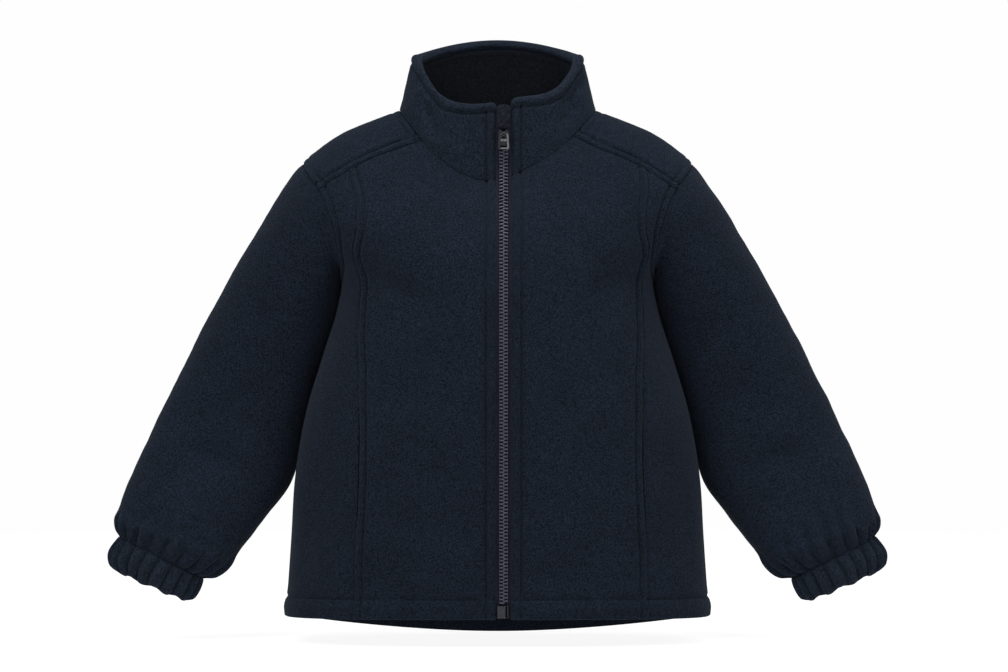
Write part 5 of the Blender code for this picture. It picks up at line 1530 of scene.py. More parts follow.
def collar_dip(columns, angle, share):
    """How far the front of the collar dips between the zip and the sides, more toward its rim."""
    side_z, front_z = columns[2], columns[4]
    beside = np.abs(np.sin(angle))
    dip = (side_z - front_z) * (beside ** (2 + COLLAR_DIP * share) - beside**2)
    return np.where(np.cos(angle) > 0, dip, 0.0)


def collar_at(angle, share):
    """The collar's outer surface at an angle and a share of its height."""
    angle, share = np.broadcast_arrays(np.asarray(angle, float), np.asarray(share, float))
    columns = np.moveaxis(COLLAR_CURVE(share), -1, 0)
    x, y, z = ring_place(columns, angle, COLLAR_SQUARE + COLLAR_SQUARE_MORE * share)
    z = z + collar_dip(columns, angle, share)
    fold = fold_height(COLLAR_FOLDS, x, z, facing(np.cos(angle)))
    z = z + front_skew(x, angle, 1.0)
    return np.stack([x + fold * np.sin(angle), y - fold * np.cos(angle), z], axis=-1)


def collar_edge_angle(side, share):
    """The angle at which the collar, at a share of its height, reaches its edge beside the zip."""
    return angle_where(lambda angle: collar_at(angle, share)[..., 0], placket_x(side), COLLAR_EDGE_REACH)


def collar_column(base_angle, starts, ends):
    """The angles, level by level, of the section that stands on this angle at the seam."""
    corners = (NECK_CORNER_ANGLE, 2 * math.pi - NECK_CORNER_ANGLE)
    return [
        np.interp(base_angle, (starts[0], *corners, ends[0]), (start, *corners, end))
        for start, end in zip(starts, ends)
    ]


def collar_section(column, up):
    """A section up the outer layer, over the roll and down the inner one, with its stitch and normal."""
    high = float(np.interp(COLLAR_END_LEVEL, COLLAR_LEVELS, column))
    height = np.linalg.norm(collar_at(high, 1.0) - collar_at(high, 0.0))
    forward = math.cos(high) > 0
    from_zip = abs(collar_at(high, COLLAR_END_LEVEL)[0] - ZIP_X) - PLACKET_HALF_GAP
    edge = from_zip if forward else COLLAR_HEIGHT
    short = min(max(0.0, COLLAR_CORNER - edge), COLLAR_CORNER)
    drop = COLLAR_CORNER - math.sqrt(COLLAR_CORNER**2 - short**2)
    top = 1 - (COLLAR_ROLL + COLLAR_CORNER_DROP * drop) / height
    down = up[::-1]
    shares = np.concatenate([up * top, top + COLLAR_ROLL * np.sin(ROLL_TURNS) / height, down * top])
    depths = np.concatenate([0 * up, COLLAR_ROLL * (1 - np.cos(ROLL_TURNS)), 0 * down + COLLAR_WALL])
    angles = np.interp(shares, COLLAR_LEVELS, column)
    normals = surface_normals(collar_at, angles, np.clip(shares, *COLLAR_INSIDE))
    normals[:, 2] *= np.clip(shares / COLLAR_FOOT_SHARE, 0.0, 1.0)
    normals = unit(normals)
    surface = collar_at(angles, shares)
    below_rim = (top - shares) * height + COLLAR_ROLL
    above_seam = shares * height
    from_placket = np.abs(surface[:, 0] - ZIP_X) - PLACKET_HALF_GAP
    beside = from_placket if forward else np.full_like(shares, FAR_OFF)
    front = facing(np.cos(angles), COLLAR_FACE_TURN)
    relief = fold_height(COLLAR_CREASES, surface[:, 0], surface[:, 2], front) + uneven(surface)
    rim = stitched(below_rim, COLLAR_STITCH, RIM_PUFF)
    rim *= 1 - (1 - SIDE_RIM) * abs(math.sin(high)) ** SIDE_RIM_POWER
    relief += rim + edge_round(above_seam, NECK_ROUND)
    relief += stitched(beside, ZIP_STITCH, ZIP_PUFF) * (below_rim > 0)
    half = COLLAR_WALL / 2
    at_edge = np.clip(1 - (beside + COLLAR_EDGE) / half, 0.0, 1.0)
    thin = np.sqrt(np.clip(1 - at_edge**2, 0.0, 1.0))
    outer_side = np.clip(1 - depths / COLLAR_WALL, 0.0, 1.0)
    inner_relief = (rim + LINING_UNEVEN * uneven(surface)) * smooth_step(above_seam, 0.0, COLLAR_FOOT)
    depths = half + (depths - half) * thin - relief * outer_side * thin
    depths += inner_relief * (1 - outer_side) * thin
    section = surface - normals * depths[:, None]
    section[[0, -1], 2] -= (COLLAR_DROP, COLLAR_LAP)
    shown = slice(0, len(up))
    stitch = [np.interp(-COLLAR_STITCH, -below_rim[shown], section[shown, k]) for k in range(3)]
    return section, stitch, normals[len(up) - 1]


def add_collar(finish, shaded_inside):
    """The collar, as closed sections from one side of the zip round the neck to the other."""
    starts = [collar_edge_angle(1, level) for level in COLLAR_LEVELS]
    ends = [2 * math.pi + collar_edge_angle(-1, level) for level in COLLAR_LEVELS]
    around = spread_shares(COLLAR_LENGTH, open_step=COLLAR_STEP_AROUND)
    up = spread_shares(COLLAR_HEIGHT, open_step=COLLAR_STEP_UP)
    bases = starts[0] + around * (ends[0] - starts[0])
    built = [collar_section(collar_column(base, starts, ends), up) for base in bases]
    sections, stitch_row, stitch_normals = (np.array(found) for found in zip(*built))
    sections[0, :, 0] = placket_x(1)
    sections[-1, :, 0] = placket_x(-1)
    count, size = sections.shape[:2]
    numbers = np.arange(count * size).reshape(count, size)
    faces = np.concatenate([loop_cells(numbers), end_cap(numbers[0]), end_cap(numbers[-1])])
    mesh = add_piece("cloth_collar", sections.reshape(-1, 3), faces, finish, ["collar"])
    # The inner layer takes a second, darker and greyer finish: painted shade inside the neck.
    mesh.materials.append(shaded_inside)
    inside_band = len(up) + len(ROLL_TURNS) + PAINTED_SHADE_FROM
    in_painted_shade = np.arange(len(mesh.polygons)) % size >= inside_band
    in_painted_shade[(count - 1) * size :] = False
    mesh.polygons.foreach_set("material_index", in_painted_shade.astype(np.int32))
    inside = slice(COLLAR_STITCH_ENDS, -COLLAR_STITCH_ENDS)
    return stitches_on(stitch_row[inside], stitch_normals[inside])


def end_cap(ring):
    """A closed section's end as a strip of cells between its two long sides."""
    count = len(ring)
    steps = range(count // 2 - 1)
    return np.array([(ring[k], ring[count - 1 - k], ring[count - 2 - k], ring[k + 1]) for k in steps])


# The pocket bags and the tabs.
def refined(grid, rows, columns):
    """A grid of places, sampled at more rows and columns."""
    upward = curve_through(grid.reshape(len(grid), -1), range(len(grid)))
    taller = upward(np.linspace(0, len(grid) - 1, rows)).reshape(rows, grid.shape[1], 2)
    sideways = curve_through(np.swapaxes(taller, 0, 1).reshape(grid.shape[1], -1), range(grid.shape[1]))
    wider = sideways(np.linspace(0, grid.shape[1] - 1, columns)).reshape(columns, rows, 2)
    return np.swapaxes(wider, 0, 1)


def hump(count, fullness):
    """A row of heights that rises from 0 to 1 in the middle and falls again."""
    return np.sin(np.linspace(0, math.pi, count)) ** fullness


def add_bags(finish):
    """A shallow bag behind each pocket's opening."""
    across = np.linspace(BAG_EDGE_X - BAG_INWARD, BAG_EDGE_X + BAG_OUTWARD, BAG_GUIDES)
    upward = np.linspace(BAG_BOTTOM_Z, BAG_TOP_Z, BAG_GUIDES)
    shape = np.outer(hump(BAG_ROWS, BAG_FULLNESS), hump(BAG_COLUMNS, BAG_FULLNESS))
    faces = sheet_faces(BAG_ROWS, BAG_COLUMNS)
    for name, side in SIDES.items():
        coarse = [[place_on_body(side * x + SEAM_SHIFT, z) for x in across] for z in upward]
        surface, normals = skin(refined(np.array(coarse), BAG_ROWS, BAG_COLUMNS))
        depth = (FLEECE + BAG_CLEARANCE + BAG_DEPTH * shape + BAG_UNEVEN * uneven(surface))[..., None]
        points = both_layers(surface - normals * depth, surface - normals * (depth + BAG_CLOTH))
        add_piece("cloth_bag_" + name, points, faces, finish, ["pocket_bag_" + name])


def add_tabs(finish):
    """The small folded tabs in the sleeve seams."""
    edge = hump(TAB_ROWS, TAB_BLUNTNESS)
    outer_lift = (TAB_LIFT + TAB_CLOTH * (TAB_EDGE + (1 - TAB_EDGE) * edge))[:, None, None]
    inner_lift = (TAB_LIFT + TAB_CLOTH * TAB_EDGE * (1 - edge))[:, None, None]
    faces = sheet_faces(TAB_ROWS, TAB_COLUMNS)
    for name, side in SIDES.items():
        tab = SLEEVE_TABS[name]
        rows = tab.row + np.linspace(-0.5, 0.5, TAB_ROWS) * tab.length / SLEEVE_ROW_LENGTH
        turns = tab.turn + np.linspace(-0.5, 0.5, TAB_COLUMNS) * tab.width / SLEEVE_RADIUS
        grid_rows, grid_turns = np.meshgrid(rows, turns, indexing="ij")
        surface = plain_sleeve(grid_rows, grid_turns, side)
        ahead = plain_sleeve(grid_rows + SMALL_STEP, grid_turns, side) - surface
        beside = plain_sleeve(grid_rows, grid_turns + SMALL_STEP, side) - surface
        normals = unit(np.cross(ahead, beside))
        outward = outward_of(surface, SLEEVE_CURVE(grid_rows), grid_turns)
        normals *= np.sign(np.sum(normals * outward, axis=-1, keepdims=True))
        points = both_layers(surface + normals * outer_lift, surface + normals * inner_lift, side)
        add_piece("loop_" + name, points, faces, finish, ["sleeve_tab_" + name])


# The zip.
def zip_line():
    """The cloth's surface down the middle of the zip, as points from the hem to the collar's top."""
    body = [body_at(angle_at_x(ZIP_X, height), height) for height in ZIP_BODY_HEIGHTS]
    middle_angle = 0.5 * (collar_edge_angle(1, 0.5) + collar_edge_angle(-1, 0.5))
    collar = [collar_at(middle_angle, share) for share in ZIP_COLLAR_SHARES]
    points = np.array(body + collar)[:, 1:]
    return curve_through(points, points[:, 1])


ZIP_LINE = zip_line()


def zip_place(z):
    """The y of the cloth's surface at this z, and the directions up and out of it, in y and z."""
    here = ZIP_LINE(z)
    up = unit(ZIP_LINE(z + ZIP_STEP) - ZIP_LINE(z - ZIP_STEP))
    out = np.stack([-up[..., 1], up[..., 0]], axis=-1)
    return here, up, out


def tape_points(side, z, across, depth):
    here, _, out = zip_place(z)
    place = here - out * depth
    return np.stack([np.full_like(z, ZIP_X) + side * across, place[..., 0], place[..., 1]], axis=-1)


def add_tapes(finish):
    """The zip's two woven tapes, with a bead along the edge that carries the teeth."""
    z = np.linspace(TAPE_BOTTOM_Z, TAPE_TOP_Z, TAPE_ROWS)
    faces = sheet_faces(TAPE_ROWS, len(TAPE_ACROSS))
    for name, side in SIDES.items():
        front = [tape_points(side, z, x, TAPE_FRONT - rise) for x, rise in zip(TAPE_ACROSS, TAPE_BEAD)]
        rear = [tape_points(side, z, x, TAPE_BACK) for x in TAPE_ACROSS]
        points = both_layers(*(np.swapaxes(np.array(layer), 0, 1) for layer in (front, rear)))
        add_piece("tape_" + name, points, faces, finish, ["zip_tape_" + name])


def cube_grid(count):
    """A unit cube's surface as cells, count along each edge, from -1 to 1."""
    steps = np.linspace(-1.0, 1.0, count + 1)
    first, second = np.meshgrid(steps, steps, indexing="ij")
    points, cells = [], []
    for axis in range(3):
        for end in (-1.0, 1.0):
            face = np.zeros((count + 1, count + 1, 3))
            face[..., axis] = end
            face[..., (axis + 1) % 3] = first
            face[..., (axis + 2) % 3] = second
            start = len(points) * (count + 1) ** 2
            found = grid_cells(np.arange((count + 1) ** 2).reshape(count + 1, count + 1)) + start
            cells.append(found if end > 0 else found[:, ::-1])
            points.append(face.reshape(-1, 3))
    points, cells = np.concatenate(points), np.concatenate(cells)
    _, first_at, numbers = np.unique(np.round(points, 6), axis=0, return_index=True, return_inverse=True)
    return points[first_at], numbers.reshape(-1)[cells]


def soft_block(half_sizes, count, power):
    """A block with soft edges, as points and cells."""
    points, cells = cube_grid(count)
    reach = np.sum(np.abs(points) ** power, axis=1, keepdims=True) ** (-1.0 / power)
    return points * reach * np.array(half_sizes), cells


def repeated(points, cells, origins, frames):
    """One shape set at each origin, with its axes turned by that origin's frame."""
    placed = origins[:, None] + np.einsum("nij,kj->nki", frames, points)
    offsets = (np.arange(len(origins)) * len(points))[:, None, None]
    return placed.reshape(-1, 3), (cells[None] + offsets).reshape(-1, 4)


def zip_frames(z):
    """Frames on the zip at these heights: X across, Y out of the cloth, Z up it."""
    _, up, out = zip_place(z)
    frames = np.zeros((len(z), 3, 3))
    frames[:, 0, 0] = 1.0
    frames[:, 1:, 1] = out
    frames[:, 1:, 2] = up
    return frames


def add_teeth(finish):
    """Two rows of moulded teeth that mesh down the middle, over the tapes' edges."""
    middle_depth = (CHAIN_FRONT + CHAIN_BACK) / 2
    half_depth = (CHAIN_BACK - CHAIN_FRONT) / 2
    foot_size = (TOOTH_FOOT, half_depth * TOOTH_FOOT_DEPTH, TOOTH_LENGTH * TOOTH_FOOT_LENGTH)
    foot, foot_cells = soft_block(foot_size, 3, TOOTH_SQUARE)
    below, above = TOOTH_FROM_END
    for name, side in SIDES.items():
        shift = TOOTH_PITCH / 2 if side > 0 else 0.0
        z = np.arange(CHAIN_BOTTOM_Z + below + shift, CHAIN_TOP_Z - above, TOOTH_PITCH)
        frames = zip_frames(z)
        head, cells = soft_block((TOOTH_REACH / 2, half_depth, TOOTH_LENGTH / 2), 4, TOOTH_SQUARE)
        waist = bell(head[:, 0] - TOOTH_WAIST_AT, TOOTH_WAIST_WIDTH)
        head[:, 2] *= 1 - TOOTH_WAIST * waist
        head[:, 0] *= -side
        heads_at = tape_points(1, z, side * (TOOTH_REACH / 2 - TOOTH_OVERLAP), middle_depth)
        feet_at = tape_points(1, z, side * (TOOTH_REACH - TOOTH_OVERLAP), middle_depth + TOOTH_FOOT_BACK)
        points, faces = repeated(head, cells, heads_at, frames)
        more, more_faces = repeated(foot, foot_cells, feet_at, frames)
        faces = np.concatenate([faces, more_faces + len(points)])
        add_piece("teeth_" + name, np.concatenate([points, more]), faces, finish, ["zip_chain"])


def add_garage(finish):
    """The little fabric tube over the top of the zip, stitched across at its foot."""
    half = (GARAGE_TOP_Z - GARAGE_BOTTOM_Z) / 2
    points, cells = soft_block((GARAGE_WIDTH / 2, GARAGE_THICKNESS / 2, half), GARAGE_CELLS, BLOCK_SQUARE)
    front = np.clip(points[:, 1] / (GARAGE_THICKNESS / 2), 0.0, 1.0)
    bar = bell(points[:, 2] + half - GARAGE_BAR_UP, GARAGE_BAR_WIDTH)
    points[:, 1] -= front * GARAGE_BAR_DEPTH * bar
    points[:, 1] += front * GARAGE_SWELL * np.cos(points[:, 0] / GARAGE_WIDTH * 2 * math.pi)
    points[:, 0] *= 1 + GARAGE_WAVER * np.sin(points[:, 2] / GARAGE_WAVER_LENGTH)
    z = np.array([(GARAGE_TOP_Z + GARAGE_BOTTOM_Z) / 2])
    origin = tape_points(1, z, 0.0, GARAGE_FRONT + GARAGE_THICKNESS / 2)
    placed, faces = repeated(points, cells, origin, zip_frames(z))
    add_piece("cloth_garage", placed, faces, finish, ["zip_garage"])


def finish_metal(nodes, finishes):
    """The slider, pull, box and pin keep their solids, with softened edges and a finer finish."""
    for name, finish in METAL_NODES.items():
        node = nodes[name]
        node.data.materials.clear()
        node.data.materials.append(finishes[finish])
        bevel = node.modifiers.new("soft_edges", "BEVEL")
        bevel.width = METAL_EDGE * MM
        bevel.segments = 2
        bevel.limit_method = "ANGLE"
        bevel.angle_limit = METAL_SHARP_ANGLE
        bevel.harden_normals = False


# Stitches.
def stitch_shape():
    """One stitch: a short bent thread of six sides, its ends dipping into the cloth."""
    turn = np.arange(STITCH_SIDES) * 2 * math.pi / STITCH_SIDES
    rings = []
    for share, reach in STITCH_OUTLINE:
        radius = STITCH_RADIUS * reach
        along = np.full(STITCH_SIDES, share * STITCH_LENGTH / 2)
        rise = radius * np.sin(turn) - STITCH_BEND * share * share
        rings.append(np.column_stack([along, radius * np.cos(turn), rise]))
    numbers = np.arange(len(rings) * STITCH_SIDES).reshape(-1, STITCH_SIDES)
    first, last = numbers[0], numbers[-1]
    ends = [first[[0, 5, 4, 3]], first[[0, 3, 2, 1]], last[[0, 1, 2, 3]], last[[0, 3, 4, 5]]]
    return np.concatenate(rings), np.concatenate([loop_cells(numbers), np.array(ends)])


def stitches_on(line, normals):
    """Stitches end to end along a line of points on the cloth."""
    lengths = path_lengths(line)
    count = int(lengths[-1] // STITCH_PITCH)
    at = (np.arange(count) + 0.5) * STITCH_PITCH

    def read(values, where):
        return np.column_stack([np.interp(where, lengths, values[:, k]) for k in range(3)])

    origins = read(line, at)
    ahead = read(line, at + STITCH_AHEAD)
    out = unit(read(normals, at))
    along = unit(ahead - origins)
    side = unit(np.cross(out, along))
    out = np.cross(along, side)
    frames = np.stack([along, side, out], axis=-1)
    shape, cells = stitch_shape()
    return repeated(shape, cells, origins, frames)


def offset_places(path, side, distance, toward):
    """Places on the body at a distance from a seam, on the side where toward's angle and height point."""
    places = mirrored(path, side)
    points, normals = skin(places)
    run = unit(np.gradient(points, axis=0))
    inward = unit(np.cross(normals, run))
    ahead = on_body(places + np.array(toward) * SMALL_STEP) - points
    inward *= np.sign(np.sum(inward * ahead, axis=1, keepdims=True))
    return nearest_on_body(points + inward * distance, places)


def body_stitches(places, lines):
    surface, normals = skin(places)
    relief = body_relief(surface, places[:, 0], lines)
    band = 1 - smooth_step(places[:, 1], HEM_TOP, HEM_SHOULDER)
    return stitches_on(surface + normals * (relief + HEM_EXTRA_OUT * band)[:, None], normals)


def bar_tack(side, lines, z):
    """A short thick bar of thread over the end of a pocket's opening."""
    found = []
    for row in range(TACK_ROWS):
        level = z + (row - TACK_ROWS / 2) * TACK_PITCH
        ends = [place_on_body(side * x + SEAM_SHIFT, level) for x in (TACK_X, TACK_X - TACK_LENGTH)]
        places = np.linspace(*ends, TACK_POINTS)
        surface, normals = skin(places)
        line = surface + normals * (body_relief(surface, places[:, 0], lines) + TACK_PROUD)[:, None]
        found.append(stitches_on(line, normals))
    return found


def stitched_row(path, side, distance, toward, lines):
    """Stitches on the body at a distance from a seam, on the side where toward points."""
    return body_stitches(offset_places(path, side, distance, toward), lines)


def add_stitches(seams, collar_threads, finish):
    """Every row of topstitching on the body and the collar, as one mesh of threads."""
    found = [collar_threads]
    steps = np.linspace(0.0, 1.0, PATH_POINTS)
    run = {name: steps[part] for name, part in STITCH_RUNS.items()}
    back = back_lines(seams["left"], seams["right"])
    for name, side in SIDES.items():
        own = seams[name]
        lines = nape_to_hem_lines(side, own)
        front = [lines[key] for key in FRONT_LINES]
        side_front = [lines[key] for key in SIDE_FRONT_LINES]
        arm = own["armhole_front"](run["arm_start"])
        hem = hem_path(own["zip"]([0.0])[0, 0] + HEM_STITCH_FROM, math.pi / 2, PATH_POINTS)
        found.append(stitched_row(own["zip"](run["front"]), side, ZIP_STITCH, (side, 0.0), front))
        found.append(stitched_row(own["princess"](run["front"]), side, SEAM_STITCH, (-side, 0.0), front))
        found.append(stitched_row(arm, side, SEAM_STITCH, (-side, 0.0), side_front))
        for z in (POCKET_TOP_Z, POCKET_BOTTOM_Z):
            found += bar_tack(side, front, z)
        found.append(stitched_row(hem, side, HEM_STITCH, (0.0, 1.0), side_front + front[:1]))
        turned = far if side < 0 else np.array
        first = own["shoulder_inner"](run["shoulder_start"])
        shoulder = joined(first, own["shoulder_outer"](run["shoulder_end"]))
        arm = joined(own["armhole_top"](steps), own["armhole_back"](run["arm_end"]))
        found.append(stitched_row(turned(shoulder), 1, SEAM_STITCH, (0.0, 1.0), back))
        found.append(stitched_row(turned(arm), 1, SEAM_STITCH, (float(side), 0.0), back))
    neck = neck_run(NECK_CORNER_ANGLE, 2 * math.pi - NECK_CORNER_ANGLE)(run["neck"])
    found.append(stitched_row(neck, 1, NECK_STITCH, (0.0, -1.0), back))
    hem = hem_path(math.pi / 2, 1.5 * math.pi, 2 * PATH_POINTS)
    found.append(stitched_row(hem, 1, HEM_STITCH, (0.0, 1.0), back))
    counts = np.cumsum([0] + [len(points) for points, _ in found])
    points = np.concatenate([points for points, _ in found])
    faces = np.concatenate([faces + start for (_, faces), start in zip(found, counts)])
    add_piece("stitches", points, faces, finish, [])


# Finishes: colours, and how fine their patches, ribs and scratches are for each metre.
PATCHES = (0.3, 0.7)
BROAD_SCALE = 26.0
MOTTLE_SCALE = 230.0
NAP_PATCHES = (0.36, 0.64)
FINE_NAP = 2.6
FINE_NAP_DEPTH = 0.35
LINT_EDGE = 0.6
SHEEN_ROUGHNESS = 0.45
SHEEN_TINT = (0.55, 0.66, 0.85, 1.0)
TAPE_RIBS = 420.0
TAPE_RIB_DEPTH = 0.0001
METAL_PIT_DEPTH = 0.00003
RAIL_EDGE = 0.4
TAPE_COLOUR = (0.0086, 0.0098, 0.0165)
TEETH_COLOUR = (0.036, 0.037, 0.054)
SLIDER_COLOUR = (0.016, 0.017, 0.019)
PULL_COLOUR = (0.085, 0.086, 0.090)
BOX_COLOUR = (0.030, 0.031, 0.036)
# The thread's navy, made darker as painted shade of the stitching's furrows.
THREAD_AND_SHADE_COLOUR = (0.0034, 0.0050, 0.0084)
WHITE = (1.0, 1.0, 1.0, 1.0)
Finish = namedtuple("Finish", "colour dark light rough nap nap_scale specks")
FLEECE_FINISH = Finish((0.0052, 0.0078, 0.0134), 0.93, 1.08, 0.96, 0.00060, 860.0, True)
# The collar's fleece is a lighter copy of the body's: painted light on the collar.
COLLAR_LIT_FINISH = Finish((0.0064, 0.0095, 0.0155), 0.93, 1.08, 0.96, 0.00060, 860.0, False)
# The cuffs' fleece is a lighter copy of the body's: painted light on the gathered cuffs.
CUFF_LIT_FINISH = Finish((0.0072, 0.0104, 0.0166), 0.93, 1.08, 0.96, 0.00060, 860.0, False)
# A darker, greyer copy of the collar's fleece for its inner layer: painted shade inside the neck.
COLLAR_SHADE_FINISH = Finish((0.0034, 0.0044, 0.0062), 0.93, 1.08, 0.96, 0.00060, 860.0, False)
GARAGE_FINISH = Finish((0.0066, 0.0080, 0.0112), 0.75, 1.25, 0.95, 0.00030, 900.0, False)
BAG_FINISH = Finish((0.0048, 0.0068, 0.0108), 0.80, 1.20, 0.92, 0.00012, 1500.0, False)


class Nodes:
    """A material's nodes, added and linked in few words."""

    def __init__(self, name):
        self.material = bpy.data.materials.new(name)
        self.material.use_nodes = True
        self.tree = self.material.node_tree
        self.shader = self.tree.nodes["Principled BSDF"]
        self.where = self.tree.nodes.new("ShaderNodeTexCoord").outputs["Object"]

    def link(self, output, socket):
        self.tree.links.new(output, socket)

    def add(self, kind, **settings):
        node = self.tree.nodes.new(kind)
        for key, value in settings.items():
            setattr(node, key, value)
        return node

    def noise(self, scale, detail=2.0, roughness=0.5, distortion=0.0):
        node = self.add("ShaderNodeTexNoise")
        node.inputs["Scale"].default_value = scale
        node.inputs["Detail"].default_value = detail
        node.inputs["Roughness"].default_value = roughness
        node.inputs["Distortion"].default_value = distortion
        self.link(self.where, node.inputs["Vector"])
        return node.outputs["Fac"]

    def ramp(self, value, low, high, low_value, high_value):
        node = self.add("ShaderNodeMapRange", clamp=True)
        self.link(value, node.inputs["Value"])
        numbers = {"From Min": low, "From Max": high, "To Min": low_value, "To Max": high_value}
        for socket, number in numbers.items():
            node.inputs[socket].default_value = number
        return node.outputs["Result"]

    def patchy(self, low_value, high_value, scale, detail=2.0, roughness=0.5, patches=PATCHES):
        """A number that varies over the surface between two values."""
        return self.ramp(self.noise(scale, detail, roughness), *patches, low_value, high_value)

    def math(self, operation, first, second):
        node = self.add("ShaderNodeMath", operation=operation)
        for socket, value in zip(node.inputs, (first, second)):
            if isinstance(value, (int, float)):
                socket.default_value = value
            else:
                self.link(value, socket)
        return node.outputs[0]

    def tinted(self, colour, factor):
        """A colour made darker or lighter by a factor that varies over the surface."""
        node = self.add("ShaderNodeVectorMath", operation="SCALE")
        node.inputs[0].default_value = colour
        self.link(factor, node.inputs["Scale"])
        return node.outputs[0]

    def mixed(self, factor, first, second):
        node = self.add("ShaderNodeMix", data_type="RGBA")
        self.link(factor, node.inputs[0])
        self.link(first, node.inputs[6])
        node.inputs[7].default_value = (*second, 1.0)
        return node.outputs[2]

    def bump(self, height, distance, before=None):
        node = self.add("ShaderNodeBump")
        node.inputs["Distance"].default_value = distance
        self.link(height, node.inputs["Height"])
        if before is not None:
            self.link(before, node.inputs["Normal"])
        return node.outputs["Normal"]

    def drive(self, socket, output):
        self.link(output, self.shader.inputs[socket])

    def plain(self, **values):
        for key, value in values.items():
            self.shader.inputs[key.replace("_", " ")].default_value = value


def cloth_finish(name, finish):
    """Brushed fleece: a pilled nap, a mottled colour and, on the outside, a few specks of lint."""
    nodes = Nodes(name)
    broad = nodes.patchy(0.93, 1.07, BROAD_SCALE)
    mottle = nodes.patchy(finish.dark, finish.light, MOTTLE_SCALE, 3.0, 0.6)
    fine = nodes.patchy(0.40, 1.60, finish.nap_scale, 2.0, 0.6, NAP_PATCHES)
    factor = nodes.math("MULTIPLY", nodes.math("MULTIPLY", broad, mottle), fine)
    colour = nodes.tinted(finish.colour, factor)
    if finish.specks:
        cells = nodes.add("ShaderNodeTexVoronoi", feature="F1")
        cells.inputs["Scale"].default_value = LINT_SCALE
        nodes.link(nodes.where, cells.inputs["Vector"])
        near = nodes.ramp(cells.outputs["Distance"], LINT_SIZE * LINT_EDGE, LINT_SIZE, 1.0, 0.0)
        rare = nodes.add("ShaderNodeSeparateColor")
        nodes.link(cells.outputs["Color"], rare.inputs[0])
        few = nodes.ramp(rare.outputs[0], 1 - LINT_SHARE, 1 - LINT_SHARE + 0.01, 0.0, 1.0)
        colour = nodes.mixed(nodes.math("MULTIPLY", near, few), colour, LINT_COLOUR)
    nodes.drive("Base Color", colour)
    pills = nodes.bump(nodes.noise(finish.nap_scale, 3.0, 0.7, 0.4), finish.nap)
    fine_noise = nodes.noise(finish.nap_scale * FINE_NAP, 2.0, 0.6)
    nodes.drive("Normal", nodes.bump(fine_noise, finish.nap * FINE_NAP_DEPTH, pills))
    nodes.plain(Roughness=finish.rough, Sheen_Weight=SHEEN, Sheen_Roughness=SHEEN_ROUGHNESS)
    nodes.plain(Sheen_Tint=SHEEN_TINT, Specular_IOR_Level=0.05)
    return nodes.material


def tape_finish():
    """A woven zip tape: fine ribs across it."""
    nodes = Nodes("woven_tape")
    wave = nodes.add("ShaderNodeTexWave", wave_type="BANDS", bands_direction="Z")
    wave.inputs["Scale"].default_value = TAPE_RIBS
    wave.inputs["Distortion"].default_value = 0.6
    nodes.link(nodes.where, wave.inputs["Vector"])
    ribs = nodes.ramp(wave.outputs["Fac"], 0.0, 1.0, 0.75, 1.2)
    factor = nodes.math("MULTIPLY", ribs, nodes.patchy(0.8, 1.2, 900.0))
    nodes.drive("Base Color", nodes.tinted(TAPE_COLOUR, factor))
    nodes.drive("Normal", nodes.bump(wave.outputs["Fac"], TAPE_RIB_DEPTH))
    nodes.plain(Roughness=0.85, Specular_IOR_Level=0.04)
    return nodes.material


def teeth_finish():
    """Dark nickel-coloured teeth, with small scratches."""
    nodes = Nodes("zip_teeth")
    nodes.drive("Base Color", nodes.tinted(TEETH_COLOUR, nodes.patchy(0.8, 1.2, 500.0, 3.0)))
    nodes.drive("Roughness", nodes.patchy(0.26, 0.42, 1400.0))
    nodes.plain(Metallic=0.75)
    return nodes.material


def metal_finish(name, colour, rail=None):
    """Cast metal, slightly pitted and worn lighter in patches; between a pull's rails it is painted dark,
    as painted shade that makes the rails stand out bright.
    """
    nodes = Nodes(name)
    factor = nodes.patchy(0.82, 1.08, 700.0, 3.0)
    if rail:
        parts = nodes.add("ShaderNodeSeparateXYZ")
        nodes.link(nodes.where, parts.inputs[0])
        across = nodes.math("ABSOLUTE", parts.outputs[0], 0.0)
        # The pull's middle, between its rails, is painted darker: painted shade.
        painted_middle_shade = nodes.ramp(across, (rail - RAIL_EDGE) * MM, rail * MM, PULL_MIDDLE_SHADE, 1.0)
        factor = nodes.math("MULTIPLY", factor, painted_middle_shade)
    nodes.drive("Base Color", nodes.tinted(colour, factor))
    nodes.drive("Roughness", nodes.patchy(0.22, 0.38, 1600.0))
    nodes.drive("Normal", nodes.bump(nodes.noise(2200.0), METAL_PIT_DEPTH))
    nodes.plain(Metallic=1.0)
    return nodes.material


def thread_finish():
    """Navy thread, twisted, coloured darker than the fleece: its own navy, darkened as painted shade of
    the furrows it lies in.
    """
    nodes = Nodes("navy_thread_and_painted_shade")
    nodes.drive("Base Color", nodes.tinted(THREAD_AND_SHADE_COLOUR, nodes.patchy(0.75, 1.25, 2500.0, 1.0)))
    nodes.plain(Roughness=0.7, Specular_IOR_Level=0.15)
    return nodes.material


# The stage.
def add_surroundings():
    """White surroundings that look bright and light softly."""
    world = bpy.data.worlds.new("white_room")
    bpy.context.scene.world = world
    world.use_nodes = True
    background = world.node_tree.nodes["Background"]
    background.inputs["Color"].default_value = WHITE
    seen = world.node_tree.nodes.new("ShaderNodeLightPath")
    strength = world.node_tree.nodes.new("ShaderNodeMapRange")
    strength.inputs["To Min"].default_value = ROOM_STRENGTH
    strength.inputs["To Max"].default_value = BACKDROP_STRENGTH
    world.node_tree.links.new(seen.outputs["Is Camera Ray"], strength.inputs["Value"])
    world.node_tree.links.new(strength.outputs["Result"], background.inputs["Strength"])


